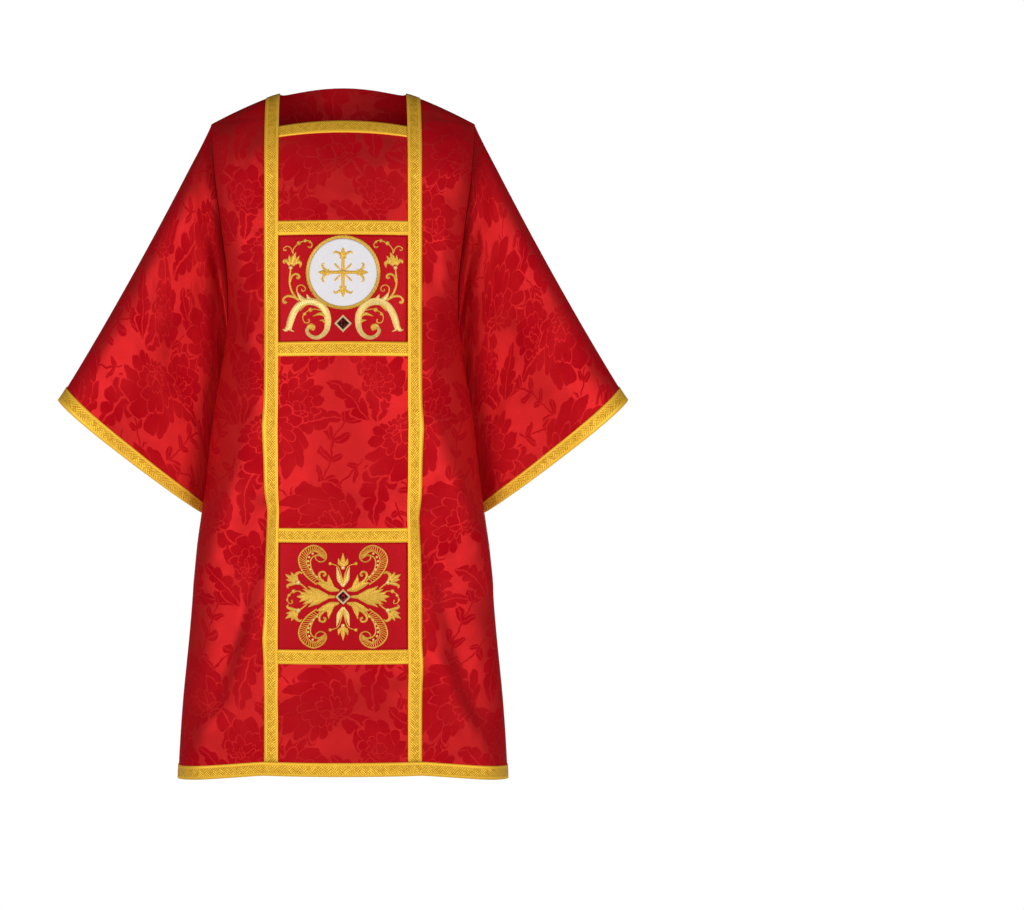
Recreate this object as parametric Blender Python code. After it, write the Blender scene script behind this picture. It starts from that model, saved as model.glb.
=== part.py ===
"""A dalmatic, filled out as when worn: front, back and sleeves of floral damask, gold galloons, and
embroidered panels with a medallion and set stones. Metres, +Z up, front towards -Y. The origin is
between the shoulders, at the height of the shoulder line beside the neck. Left is the wearer's."""
import math
from collections import namedtuple

import bmesh
import bpy
from mathutils import Matrix, Vector

# Thickness of each layer, and the gap between pieces that are sewn together
GAP = 0.0003
CLOTH = 0.0016
GALLOON = 0.0012
GROUND = 0.0008
MEDALLION = 0.0012
CORD = 0.0022
ON_GROUND = GAP + GROUND + 0.0004  # where ornaments start, above the cloth's outer face
CREASE_ANGLE = 40.0                # edges sharper than this stay crisp

# The cut
NECK = 0.112              # half the neck opening, which ends at the inner edges of the galloons
GALLOON_WIDTH = 0.024
BAND = NECK + GALLOON_WIDTH
FRONT_NECK_RISE = 0.0094  # the front neck edge is higher in the middle
BACK_NECK_RISE = 0.022
BACK_NECK_CREST = 0.050   # where the cloth would end if it ran on over the nape
YOKE = -0.160             # below this height the cloth hangs from the shoulders
SHOULDER = (0.234, -0.052)
SHOULDER_FALL = 1.2       # above 1, the shoulder line is flatter at the neck
UNDERARM = -0.3965
ARMHOLE_DEPTH = 0.048     # half the armhole's width, front to back
HEM = -1.197
SIDE_DROP = 0.0205        # the hem hangs lower at the sides
HEM_WAVE = 0.004

# Sleeves: the arm hangs, so a sleeve runs down beside the body, with its lower fold behind the side
CUFF_TOP = (0.507, -0.544)
CUFF_LOW = (0.252, -0.747)
CUFF_BULGE = 0.006
SLEEVE_SAG = 0.008
SAG_ROUNDNESS = 0.6
SLEEVE_DEPTH = {-1: 0.086, 1: 0.078}
SLEEVE_TAPER = 0.72
SLEEVE_TUCK = 0.030       # how far the lower fold lies behind the side seam
VALLEY = 0.18             # share of the sleeve's length that the valley at the armhole takes
PIPE_RISE = 0.012         # the pipe fold beside the valley
PIPE_PLACE = 0.20
PIPE_WIDTH = 0.07

FRONT, BACK = -1, 1

# The body's cross-sections: half its width, and how far the middle stands forward and back
Section = namedtuple("Section", "z half_width front back")
BODY = (
    Section(0.000, 0.2360, 0.100, 0.106),
    Section(-0.052, 0.2340, 0.104, 0.109),
    Section(-0.152, 0.2260, 0.112, 0.112),
    Section(-0.250, 0.2130, 0.122, 0.114),
    Section(-0.349, 0.2035, 0.126, 0.112),
    Section(-0.438, 0.2100, 0.127, 0.109),
    Section(-0.580, 0.2320, 0.126, 0.108),
    Section(-0.688, 0.2450, 0.126, 0.109),
    Section(-0.795, 0.2606, 0.125, 0.110),
    Section(-0.937, 0.2730, 0.123, 0.112),
    Section(-1.080, 0.2870, 0.121, 0.114),
    Section(-1.220, 0.2945, 0.119, 0.116),
)

# Upper edges of the crossbars, from the neck down
FRONT_BARS = (-0.2396, -0.4486, -0.7690, -0.9790)
BACK_BARS = (-0.1897, -0.3965, -0.7690, -0.9790)

# The largest folds of the body: a straight run, its half-width, and how far it rises or sinks.
# They fade out where the cloth turns away to the side.
FOLD_FADE = 0.35
Fold = namedtuple("Fold", "side x_top z_top x_end z_end width rise")
BODY_FOLDS = (
    Fold(FRONT, -0.150, -0.595, -0.246, -0.860, 0.030, 0.008),
    Fold(FRONT, -0.140, -0.743, -0.217, -1.064, 0.028, -0.010),
    Fold(FRONT, -0.155, -0.961, -0.255, -1.168, 0.030, 0.009),
    Fold(FRONT, 0.152, -0.595, 0.262, -0.858, 0.030, 0.008),
    Fold(FRONT, 0.146, -0.755, 0.232, -1.064, 0.028, -0.010),
    Fold(FRONT, 0.160, -1.008, 0.250, -1.173, 0.030, 0.009),
    Fold(FRONT, -0.086, -1.060, 0.086, -1.020, 0.024, 0.004),
    Fold(FRONT, -0.050, -1.120, 0.060, -1.100, 0.030, -0.004),
    Fold(FRONT, -0.060, -0.735, 0.090, -0.725, 0.024, -0.004),
    Fold(BACK, 0.135, -0.652, 0.262, -0.870, 0.030, 0.008),
    Fold(BACK, 0.180, -0.858, 0.256, -1.064, 0.026, -0.009),
    Fold(BACK, 0.148, -0.961, 0.252, -1.145, 0.030, 0.008),
    Fold(BACK, 0.166, -1.076, 0.190, -1.150, 0.016, -0.007),
    Fold(BACK, -0.138, -0.660, -0.258, -0.858, 0.030, 0.008),
    Fold(BACK, -0.160, -0.800, -0.262, -1.120, 0.026, -0.009),
    Fold(BACK, -0.148, -0.927, -0.245, -1.145, 0.030, 0.008),
    Fold(BACK, -0.156, -1.076, -0.172, -1.120, 0.016, -0.007),
)

# Folds of a sleeve, written for the left one and mirrored
SLEEVE_FOLDS = (
    Fold(FRONT, 0.318, -0.400, 0.405, -0.571, 0.028, 0.006),
    Fold(FRONT, 0.300, -0.430, 0.262, -0.575, 0.024, -0.007),
    Fold(FRONT, 0.335, -0.560, 0.370, -0.640, 0.030, -0.005),
    Fold(BACK, 0.330, -0.380, 0.440, -0.580, 0.030, 0.006),
    Fold(BACK, 0.300, -0.400, 0.300, -0.600, 0.026, -0.007),
)

# Rows and columns of the panels
YOKE_ANGLES = (0.0, 14.0, 28.0, 42.0, 56.25, 64.5, 77.0, 90.0)
NECK_ROW = 4
NECK_BAR_ROW = 5
LARGEST_STEP = 0.048
OUTER_COLUMNS = 7
CENTRE_COLUMNS = 8
SLEEVE_SHARES = (0.0, 0.04, 0.09, 0.15, 0.22, 0.31, 0.41, 0.52, 0.63, 0.75, 0.88, 1.0)

# Ornaments, by their distance below the crossbar over them
MEDALLION_DROP = 0.0659
MEDALLION_RADIUS = 0.0580
CORD_WIDTH = 0.0056
ROUND_PARTS = 32
UPPER_STONE_DROP = 0.1537
LOWER_STONE_DROP = 0.0935
SETTING_RADIUS = {"upper": 0.0155, "lower": 0.0140}
SETTING_EDGE = 0.0050
SETTING_HEIGHT = 0.0024
SETTING_BEVEL = 0.0012
SETTING_LIP = 0.0010
STONE_HEIGHT = 0.0036
STONE_GIRDLE = 0.3        # height of the stone's edge, as a share of its height
STONE_TABLE = 0.5         # size of its flat top, as a share of its width

# Colour, roughness and metallic value of each material
FINISHES = {
    "damask": ((0.50, 0.010, 0.014), 0.42, 0.0),
    "galloon": ((0.80, 0.42, 0.05), 0.45, 0.3),
    "satin": ((0.42, 0.006, 0.010), 0.50, 0.0),
    "white_satin": ((0.75, 0.72, 0.74), 0.50, 0.0),
    "gold_cord": ((0.78, 0.44, 0.07), 0.35, 0.5),
    "gilt": ((0.83, 0.55, 0.16), 0.25, 1.0),
    "glass": ((0.08, 0.002, 0.003), 0.08, 0.0),
}


def clear_scene():
    for old in list(bpy.data.objects):
        bpy.data.objects.remove(old, do_unlink=True)


def finish(name):
    """The named material, made once."""
    if name in bpy.data.materials:
        return bpy.data.materials[name]
    colour, roughness, metallic = FINISHES[name]
    material = bpy.data.materials.new(name)
    material.use_nodes = True
    shader = material.node_tree.nodes["Principled BSDF"]
    shader.inputs["Base Color"].default_value = (*colour, 1.0)
    shader.inputs["Roughness"].default_value = roughness
    shader.inputs["Metallic"].default_value = metallic
    return material


def smoothstep(value):
    value = min(max(value, 0.0), 1.0)
    return value * value * (3.0 - 2.0 * value)


def section(z):
    """The body's section at a height, on a smooth curve through the rows of BODY."""
    last = len(BODY) - 1
    after = next((i for i, row in enumerate(BODY) if row.z <= z), last)
    after = max(after, 1)
    rows = [BODY[min(max(after + step, 0), last)] for step in (-2, -1, 0, 1)]
    t = (z - rows[1].z) / (rows[2].z - rows[1].z)
    weights = (
        -0.5 * t + t * t - 0.5 * t**3,
        1.0 - 2.5 * t * t + 1.5 * t**3,
        0.5 * t + 2.0 * t * t - 1.5 * t**3,
        -0.5 * t * t + 0.5 * t**3,
    )
    return Section(*(sum(w * row[i] for w, row in zip(weights, rows)) for i in range(4)))


def shoulder_line(x):
    """Height of the shoulder seam over x, level across the neck."""
    share = max(abs(x) - NECK, 0.0) / (SHOULDER[0] - NECK)
    return SHOULDER[1] * share**SHOULDER_FALL


def neck_bow(x):
    """1 in the middle of the neck, 0 at its sides."""
    return max(1.0 - (x / NECK) ** 2, 0.0)


def crest(side, x):
    """The height from which the cloth falls at x."""
    if side == BACK:
        return shoulder_line(x) + BACK_NECK_CREST * neck_bow(x)
    return shoulder_line(x)


def armhole_depth(z):
    """How far the armhole's edge stands off the middle plane, on an ellipse."""
    share = min(max((SHOULDER[1] - z) / (SHOULDER[1] - UNDERARM), 0.0), 1.0)
    return 2.0 * ARMHOLE_DEPTH * math.sqrt(share * (1.0 - share))


def fold_rise(folds, side, x, z):
    """Sum of the folds at (x, z): each is a soft ridge or trough round its straight run."""
    rise = 0.0
    for fold in folds:
        if fold.side != side:
            continue
        run = Vector((fold.x_end - fold.x_top, fold.z_end - fold.z_top))
        here = Vector((x - fold.x_top, z - fold.z_top))
        share = min(max(here.dot(run) / run.length_squared, 0.0), 1.0)
        distance = (here - run * share).length
        rise += fold.rise * math.exp(-((distance / fold.width) ** 2))
    return rise


def body_point(side, x, z, facing=None):
    """A point of the body's outer face. facing is 1 in the middle and 0 at the side seam."""
    shape = section(z)
    if facing is None:
        facing = math.sqrt(max(1.0 - (x / shape.half_width) ** 2, 0.0))
    middle = shape.front if side == FRONT else shape.back
    edge = armhole_depth(z)
    top = crest(side, x)
    fallen = min(max((top - z) / (top - YOKE), 0.0), 1.0)
    depth = (edge + (middle - edge) * facing) * math.sqrt(1.0 - (1.0 - fallen) ** 2)
    lift = fold_rise(BODY_FOLDS, side, x, z) * smoothstep(facing / FOLD_FADE) * smoothstep(fallen)
    lean = math.copysign(math.sqrt(1.0 - min(facing, 1.0) ** 2), x)
    return Vector((x + lift * lean, side * (depth + lift * facing), z))


def fill_levels(levels):
    """The levels, from the top down, with more between them where a step is too large."""
    levels = sorted(set(levels), reverse=True)
    filled = [levels[0]]
    for level in levels[1:]:
        steps = math.ceil((filled[-1] - level) / LARGEST_STEP - 1e-6)
        start = filled[-1]
        filled += [start + (level - start) * (n + 1) / steps for n in range(steps)]
    return filled


YOKE_ROWS = len(YOKE_ANGLES) - 1
BAR_EDGES = [z - down for z in (*FRONT_BARS, *BACK_BARS) for down in (0.0, GALLOON_WIDTH)]
LEVELS = fill_levels([YOKE, UNDERARM, HEM + GALLOON_WIDTH, HEM, *BAR_EDGES])
ROWS = YOKE_ROWS + len(LEVELS)
UNDERARM_ROW = YOKE_ROWS + LEVELS.index(UNDERARM)
HEM_ROW = ROWS - 2
COLUMNS = 2 * OUTER_COLUMNS + CENTRE_COLUMNS + 3
LEFT_IN = OUTER_COLUMNS + 1
RIGHT_IN = LEFT_IN + CENTRE_COLUMNS
EDGES = {-1: 0, 1: COLUMNS - 1}


def row_at(z):
    return YOKE_ROWS + min(range(len(LEVELS)), key=lambda i: abs(LEVELS[i] - z))


def yoke_share(row):
    return 1.0 - math.cos(math.radians(YOKE_ANGLES[row]))


def row_height(side, row, x):
    if row >= YOKE_ROWS:
        return LEVELS[row - YOKE_ROWS]
    share = yoke_share(row)
    top = shoulder_line(x)
    if abs(x) < NECK and side == BACK:
        top = BACK_NECK_RISE * neck_bow(x)
    elif abs(x) < NECK:
        neck_share = yoke_share(NECK_ROW)
        top = YOKE * neck_share + FRONT_NECK_RISE * neck_bow(x)
        share = (share - neck_share) / (1.0 - neck_share)
    return top * (1.0 - share) + YOKE * share


def grid_point(side, row, column):
    """The panel's point where a row meets a column."""
    if LEFT_IN <= column <= RIGHT_IN:
        x = NECK * (2.0 * (column - LEFT_IN) / CENTRE_COLUMNS - 1.0)
        return body_point(side, x, row_height(side, row, x))
    sign = -1 if column < LEFT_IN else 1
    steps = LEFT_IN - 1 - column if sign < 0 else column - RIGHT_IN - 1
    half_width = section(row_height(side, row, SHOULDER[0])).half_width
    inner = math.asin(BAND / half_width)
    angle = inner + (math.pi / 2.0 - inner) * steps / OUTER_COLUMNS
    x = sign * half_width * math.sin(angle)
    z = row_height(side, row, x)
    point = body_point(side, x, z, math.cos(angle))
    share = (abs(x) - BAND) / (half_width - BAND)
    drop = SIDE_DROP * share**2 + HEM_WAVE * math.sin(math.pi * share)
    point.z -= drop * smoothstep((UNDERARM - z) / (UNDERARM - HEM))
    return point


def grid_key(side, row, column):
    """Front and back share their points on the shoulder and side seams."""
    if row == 0 and not LEFT_IN < column < RIGHT_IN:
        return ("shoulder", row, column)
    if row >= UNDERARM_ROW and column in EDGES.values():
        return ("side", row, column)
    return (side, row, column)


def grid_has(side, row, column):
    return side == BACK or row >= NECK_ROW or not LEFT_IN < column < RIGHT_IN


def sleeve_key(sign, ring, turn):
    return ("sleeve", sign, ring, turn % (2 * UNDERARM_ROW))


def armhole_key(sign, turn):
    """The body's point that a sleeve's first ring meets: down the front edge, then up the back."""
    column = EDGES[sign]
    if turn <= UNDERARM_ROW:
        return grid_key(FRONT, turn, column)
    return grid_key(BACK, 2 * UNDERARM_ROW - turn, column)


def sleeve_point(sign, share, turn, start):
    """A point of a sleeve's outer face. share runs from the armhole to the cuff."""
    side = FRONT if turn <= UNDERARM_ROW else BACK
    down = turn if side == FRONT else 2 * UNDERARM_ROW - turn
    angle = math.pi * down / UNDERARM_ROW
    along = (1.0 - math.cos(angle)) / 2.0
    top, low, shoulder = Vector(CUFF_TOP), Vector(CUFF_LOW), Vector(SHOULDER)
    arm = (top - shoulder).normalized()
    cuff = top.lerp(low, along) + arm * CUFF_BULGE * math.sin(angle)
    flat = Vector((abs(start.x), start.z)).lerp(cuff, share)
    sag = SLEEVE_SAG * math.sin(math.pi * share) ** SAG_ROUNDNESS * (1.0 - along)
    flat += Vector((arm.y, -arm.x)) * sag
    hollow = smoothstep(share / VALLEY)
    depth = SLEEVE_DEPTH[side] * (1.0 - SLEEVE_TAPER * along)
    depth += PIPE_RISE * math.exp(-(((share - PIPE_PLACE) / PIPE_WIDTH) ** 2)) * along
    depth += fold_rise(SLEEVE_FOLDS, side, flat.x, flat.y)
    y = side * depth * math.sin(angle) + SLEEVE_TUCK * along
    return Vector((sign * flat.x, start.y * (1.0 - hollow) + y * hollow, flat.y))


def sleeve_share(ring, turn, start):
    """Rings are spread over the sleeve, and the last strip is as wide as the cuff's galloon."""
    if ring >= len(SLEEVE_SHARES):
        return 1.0
    length = (sleeve_point(1, 1.0, turn, start) - Vector((abs(start.x), start.y, start.z))).length
    return SLEEVE_SHARES[ring] * (1.0 - GALLOON_WIDTH / length)


class Garment:
    """Every point of the cloth's outer face, its normal, and the triangles of each panel."""

    def __init__(self):
        self.points = {}
        self.faces = {}
        self.normals = {}
        for side in (FRONT, BACK):
            self.add_panel(side)
        for sign in (-1, 1):
            self.add_sleeve(sign)
        self.add_normals()

    def add_panel(self, side):
        for row in range(ROWS):
            for column in range(COLUMNS):
                if grid_has(side, row, column):
                    key = grid_key(side, row, column)
                    point = grid_point(side, row, column)
                    if key[0] in ("shoulder", "side"):
                        point.y = 0.0
                    self.points[key] = point
        self.faces[side] = self.patch(side, 0, ROWS - 1, 0, COLUMNS - 1)

    def patch(self, side, top, bottom, first, last):
        """Triangles between two rows and two columns of a panel."""
        faces = []
        for row in range(top, bottom):
            for column in range(first, last):
                corners = [(row, column), (row + 1, column), (row + 1, column + 1), (row, column + 1)]
                if not all(grid_has(side, *corner) for corner in corners):
                    continue
                a, b, c, d = (grid_key(side, *corner) for corner in corners)
                faces += [(a, b, c), (a, c, d)] if side == FRONT else [(a, c, b), (a, d, c)]
        return faces

    def add_sleeve(self, sign):
        rings = len(SLEEVE_SHARES) + 1
        turns = 2 * UNDERARM_ROW
        for turn in range(turns):
            start = self.points[armhole_key(sign, turn)]
            for ring in range(rings):
                share = sleeve_share(ring, turn, start)
                point = sleeve_point(sign, share, turn, start)
                if ring == 0:
                    point.x += sign * 2.0 * GAP
                self.points[sleeve_key(sign, ring, turn)] = point
        self.faces[("sleeve", sign)] = self.tube(sign, 0, rings - 1)

    def tube(self, sign, first, last):
        """Triangles between two rings of a sleeve."""
        faces = []
        for ring in range(first, last):
            for turn in range(2 * UNDERARM_ROW):
                a, b = sleeve_key(sign, ring, turn), sleeve_key(sign, ring, turn + 1)
                d, c = sleeve_key(sign, ring + 1, turn), sleeve_key(sign, ring + 1, turn + 1)
                faces += [(a, b, c), (a, c, d)] if sign > 0 else [(a, c, b), (a, d, c)]
        return faces

    def add_normals(self):
        """Normals from the faces round each point. At an armhole, body and sleeve share one."""
        for faces in self.faces.values():
            for a, b, c in faces:
                pa, pb, pc = self.points[a], self.points[b], self.points[c]
                cross = (pb - pa).cross(pc - pa)
                for key in (a, b, c):
                    self.normals[key] = self.normals.get(key, Vector()) + cross
        for key in self.normals:
            self.normals[key].normalize()
            if key[0] in ("shoulder", "side"):
                self.normals[key].y = 0.0
                self.normals[key].normalize()
        for sign in (-1, 1):
            for turn in range(2 * UNDERARM_ROW):
                body, sleeve = armhole_key(sign, turn), sleeve_key(sign, 0, turn)
                shared = (self.normals[body] + self.normals[sleeve]).normalized()
                self.normals[body] = shared
                self.normals[sleeve] = shared.copy()

    def wall(self, name, faces, low, high, material, shifts=None):
        """A closed solid over these faces, between two heights above the cloth's outer face."""
        shifts = shifts or {}
        mesh = bmesh.new()
        corners = {}
        for face in faces:
            for key in face:
                if key not in corners:
                    place = self.points[key] + shifts.get(key, Vector())
                    corners[key] = mesh.verts.new(place + self.normals[key] * low)
        under = [mesh.faces.new([corners[key] for key in face]) for face in faces]
        risen = bmesh.ops.extrude_face_region(mesh, geom=under, use_keep_orig=True)
        normal_at = {tuple(vert.co): self.normals[key] for key, vert in corners.items()}
        for vert in [item for item in risen["geom"] if isinstance(item, bmesh.types.BMVert)]:
            vert.co += normal_at[tuple(vert.co)] * (high - low)
        close_up(name, mesh, material)

    def seam_shift(self, side):
        """Front and back part at their seams."""
        away = Vector((0.0, side * GAP, 0.0))
        return {key: away for key in self.points if key[0] in ("shoulder", "side")}

    def trim(self, shifts, keys_from, keys_to, distance):
        """Pulls each point a little way towards its neighbour."""
        for start, end in zip(keys_from, keys_to):
            way = (self.points[end] - self.points[start]).normalized() * distance
            shifts[start] = shifts.get(start, Vector()) + way
        return shifts


def close_up(name, mesh, material):
    """Turns a closed bmesh's faces outwards and makes it an object."""
    bmesh.ops.recalc_face_normals(mesh, faces=mesh.faces)
    bmesh.ops.triangulate(mesh, faces=mesh.faces)
    data = bpy.data.meshes.new(name)
    mesh.to_mesh(data)
    mesh.free()
    data.materials.append(finish(material))
    data.shade_smooth()
    data.set_sharp_from_angle(angle=math.radians(CREASE_ANGLE))
    piece = bpy.data.objects.new(name, data)
    bpy.context.collection.objects.link(piece)
    return piece


def side_name(side):
    return "front" if side == FRONT else "back"


def bars_of(side):
    return FRONT_BARS if side == FRONT else BACK_BARS


def make_panels(cloth):
    """Front and back, each in three strips that part along the inner edges of the galloons."""
    for side in (FRONT, BACK):
        first = NECK_ROW if side == FRONT else 0
        faces, shifts = between_bands(cloth, side, first, ROWS - 1, cloth.seam_shift(side))
        cloth.wall(f"{side_name(side)}_centre", faces, -CLOTH, 0.0, "damask", shifts)
        for name, columns in (("right", (0, LEFT_IN)), ("left", (RIGHT_IN, COLUMNS - 1))):
            faces = cloth.patch(side, 0, ROWS - 1, *columns)
            shifts = cloth.seam_shift(side)
            cloth.wall(f"{side_name(side)}_{name}", faces, -CLOTH, 0.0, "damask", shifts)
    for sign, name in ((1, "sleeve_left"), (-1, "sleeve_right")):
        cloth.wall(name, cloth.faces[("sleeve", sign)], -CLOTH, 0.0, "damask")


def make_bands(cloth):
    """Each vertical galloon runs from the front hem over the shoulder to the back hem."""
    for name, first in (("band_left", RIGHT_IN), ("band_right", LEFT_IN - 1)):
        faces = []
        shifts = {}
        for side in (FRONT, BACK):
            faces += cloth.patch(side, 0, HEM_ROW, first, first + 1)
            ends = [grid_key(side, HEM_ROW, first + n) for n in (0, 1)]
            above = [grid_key(side, HEM_ROW - 1, first + n) for n in (0, 1)]
            cloth.trim(shifts, ends, above, GAP)
        cloth.wall(name, faces, GAP, GAP + GALLOON, "galloon", shifts)


def between_bands(cloth, side, top, bottom, shifts=None):
    """Faces between the bands from one row to another, with the ends pulled clear of the bands."""
    shifts = shifts or {}
    for edge, inward in ((LEFT_IN, 1), (RIGHT_IN, -1)):
        ends = [grid_key(side, row, edge) for row in range(top, bottom + 1)]
        inner = [grid_key(side, row, edge + inward) for row in range(top, bottom + 1)]
        cloth.trim(shifts, ends, inner, GAP)
    return cloth.patch(side, top, bottom, LEFT_IN, RIGHT_IN), shifts


def make_bars(cloth):
    faces, shifts = between_bands(cloth, FRONT, NECK_ROW, NECK_BAR_ROW)
    cloth.wall("neck_bar", faces, GAP, GAP + GALLOON, "galloon", shifts)
    for side in (FRONT, BACK):
        for number, top in enumerate(bars_of(side), start=1):
            rows = row_at(top), row_at(top - GALLOON_WIDTH)
            faces, shifts = between_bands(cloth, side, *rows)
            name = f"bar_{side_name(side)}_{number}"
            cloth.wall(name, faces, GAP, GAP + GALLOON, "galloon", shifts)


def make_edges(cloth):
    """Galloons along the hem and round the cuffs."""
    for side in (FRONT, BACK):
        faces = cloth.patch(side, HEM_ROW, ROWS - 1, 0, COLUMNS - 1)
        name = f"hem_{side_name(side)}"
        cloth.wall(name, faces, GAP, GAP + GALLOON, "galloon", cloth.seam_shift(side))
    rings = len(SLEEVE_SHARES)
    for sign, name in ((1, "cuff_left"), (-1, "cuff_right")):
        cloth.wall(name, cloth.tube(sign, rings - 1, rings), GAP, GAP + GALLOON, "galloon")


def make_grounds(cloth):
    """Plain cloth under the embroidery, between two crossbars."""
    for side in (FRONT, BACK):
        bars = bars_of(side)
        for name, upper in (("upper", 0), ("lower", 2)):
            top = row_at(bars[upper] - GALLOON_WIDTH)
            bottom = row_at(bars[upper + 1])
            shifts = {}
            columns = range(LEFT_IN, RIGHT_IN + 1)
            for row, inward in ((top, 1), (bottom, -1)):
                ends = [grid_key(side, row, column) for column in columns]
                inner = [grid_key(side, row + inward, column) for column in columns]
                cloth.trim(shifts, ends, inner, GAP)
            faces, shifts = between_bands(cloth, side, top, bottom, shifts)
            piece = f"panel_{side_name(side)}_{name}"
            cloth.wall(piece, faces, GAP, GAP + GROUND, "satin", shifts)


def on_panel(side, x, z, lift):
    """A point at a height above the body's face, and the way out of the face there."""
    reach = 0.002
    here = body_point(side, x, z)
    across = body_point(side, x + reach, z) - body_point(side, x - reach, z)
    down = body_point(side, x, z - reach) - body_point(side, x, z + reach)
    out = (down.cross(across) * side * -1.0).normalized()
    return here + out * lift, out


def make_medallions():
    """A round of white satin, and the gold cord round it."""
    for side in (FRONT, BACK):
        z = bars_of(side)[0] - GALLOON_WIDTH - MEDALLION_DROP
        disc = round_sheet(side, z, (0.0, 0.5 * MEDALLION_RADIUS, MEDALLION_RADIUS), MEDALLION)
        close_up(f"roundel_{side_name(side)}", disc, "white_satin")
        inner = MEDALLION_RADIUS + GAP
        cord = round_sheet(side, z, (inner, inner + CORD_WIDTH), CORD)
        close_up(f"rim_{side_name(side)}", cord, "gold_cord")


def round_sheet(side, z, radii, thickness):
    """A round layer on the panel, between the first and the last radius."""
    mesh = bmesh.new()
    layers = []
    for lift in (ON_GROUND, ON_GROUND + thickness):
        rings = []
        for radius in radii:
            parts = ROUND_PARTS if radius > 0.0 else 1
            turns = [2.0 * math.pi * n / parts for n in range(parts)]
            spots = [(radius * math.cos(turn), z + radius * math.sin(turn)) for turn in turns]
            rings.append([mesh.verts.new(on_panel(side, *spot, lift)[0]) for spot in spots])
        layers.append(rings)
    for rings in layers:
        for inner, outer in zip(rings, rings[1:]):
            fill_ring(mesh, inner, outer)
    fill_ring(mesh, layers[0][-1], layers[1][-1])
    if len(layers[0][0]) > 1:
        fill_ring(mesh, layers[0][0], layers[1][0])
    return mesh


def fill_ring(mesh, inner, outer):
    """Faces between two rings of points, or a fan where the inner one is a single point."""
    for n, here in enumerate(outer):
        after = outer[(n + 1) % len(outer)]
        if len(inner) == 1:
            mesh.faces.new((inner[0], here, after))
        else:
            mesh.faces.new((inner[n], here, after, inner[(n + 1) % len(inner)]))


def make_stones():
    """Four-sided stones in gilt settings, flat behind."""
    for side in (FRONT, BACK):
        bars = bars_of(side)
        heights = {"upper": bars[0] - GALLOON_WIDTH - UPPER_STONE_DROP,
                   "lower": bars[2] - GALLOON_WIDTH - LOWER_STONE_DROP}
        for place, z in heights.items():
            seat, out = on_panel(side, 0.0, z, ON_GROUND)
            right = Vector((-side, 0.0, 0.0))
            up = out.cross(right).normalized()
            frame = Matrix((right, up, out)).transposed().to_4x4()
            frame.translation = seat
            make_setting(f"setting_{side_name(side)}_{place}", SETTING_RADIUS[place], frame)
            make_stone(f"stone_{side_name(side)}_{place}", SETTING_RADIUS[place], frame)


def turned(profile):
    """Four flat sides round the Z axis, from a profile of (radius, height) points."""
    mesh = bmesh.new()
    verts = [mesh.verts.new((radius, 0.0, height)) for radius, height in profile]
    edges = [mesh.edges.new(pair) for pair in zip(verts, verts[1:])]
    bmesh.ops.spin(mesh, geom=verts + edges, cent=(0.0, 0.0, 0.0), axis=(0.0, 0.0, 1.0),
                   angle=2.0 * math.pi, steps=4, use_merge=True)
    bmesh.ops.remove_doubles(mesh, verts=mesh.verts, dist=1e-6)
    return mesh


def make_setting(name, radius, frame):
    """A four-sided frame, bevelled towards the stone."""
    inner = radius - SETTING_EDGE
    mesh = turned(((inner, 0.0), (radius, 0.0), (radius - SETTING_BEVEL, SETTING_HEIGHT),
                   (inner + SETTING_LIP, SETTING_HEIGHT), (inner, SETTING_HEIGHT / 2.0), (inner, 0.0)))
    bmesh.ops.transform(mesh, matrix=frame, verts=mesh.verts)
    close_up(name, mesh, "gilt")


def make_stone(name, radius, frame):
    """A table-cut stone, flat behind."""
    girdle = radius - SETTING_EDGE - 2.0 * GAP
    mesh = turned(((0.0, 0.0), (girdle, 0.0), (girdle, STONE_HEIGHT * STONE_GIRDLE),
                   (girdle * STONE_TABLE, STONE_HEIGHT), (0.0, STONE_HEIGHT)))
    bmesh.ops.transform(mesh, matrix=frame, verts=mesh.verts)
    close_up(name, mesh, "glass")


clear_scene()
garment = Garment()
make_panels(garment)
make_bands(garment)
make_bars(garment)
make_edges(garment)
make_grounds(garment)
make_medallions()
make_stones()
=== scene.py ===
# %% [markdown]
# # A red dalmatic with gold galloons
#
# The CAD part gives this vestment its true sizes: a front, a back, two wide sleeves and their trims,
# filled out as when worn. It is faceted and plain. This lesson makes every piece again as fine cloth
# on the same curves, and then gives it its weave, its galloons, its embroidery and its stones.
#
# The pieces could also be smoothed copies of the CAD meshes, but those have too few points for the
# small folds and no UVs to hang a weave on. Building them again from the part's own curves gives both.

# %% Load the CAD part
import math
from collections import namedtuple

import bmesh
import bpy
import numpy as np
from mathutils import Matrix, Vector


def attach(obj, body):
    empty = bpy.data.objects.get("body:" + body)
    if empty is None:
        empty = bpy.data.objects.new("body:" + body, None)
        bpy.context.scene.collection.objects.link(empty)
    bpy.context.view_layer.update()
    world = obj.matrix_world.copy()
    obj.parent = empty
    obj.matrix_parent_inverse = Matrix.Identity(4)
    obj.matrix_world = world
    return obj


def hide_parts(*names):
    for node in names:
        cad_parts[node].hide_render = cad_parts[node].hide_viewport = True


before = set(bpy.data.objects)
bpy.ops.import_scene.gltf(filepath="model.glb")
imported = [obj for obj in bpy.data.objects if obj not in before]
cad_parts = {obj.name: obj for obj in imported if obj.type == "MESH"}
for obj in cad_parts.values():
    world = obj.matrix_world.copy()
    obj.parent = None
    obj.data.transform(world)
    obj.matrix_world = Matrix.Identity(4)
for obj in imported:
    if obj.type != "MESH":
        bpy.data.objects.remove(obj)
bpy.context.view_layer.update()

# %% [markdown]
# ## The cut
#
# A dalmatic is cut almost flat: a straight front and back, sloping shoulders, and sleeves set in as
# wide tubes. These are the part's own sizes, in metres. The front is towards -Y, and left is the
# wearer's left. Sizes that belong together are kept in one table, so that a piece and its trim can't
# drift apart when one of them is changed.

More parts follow.
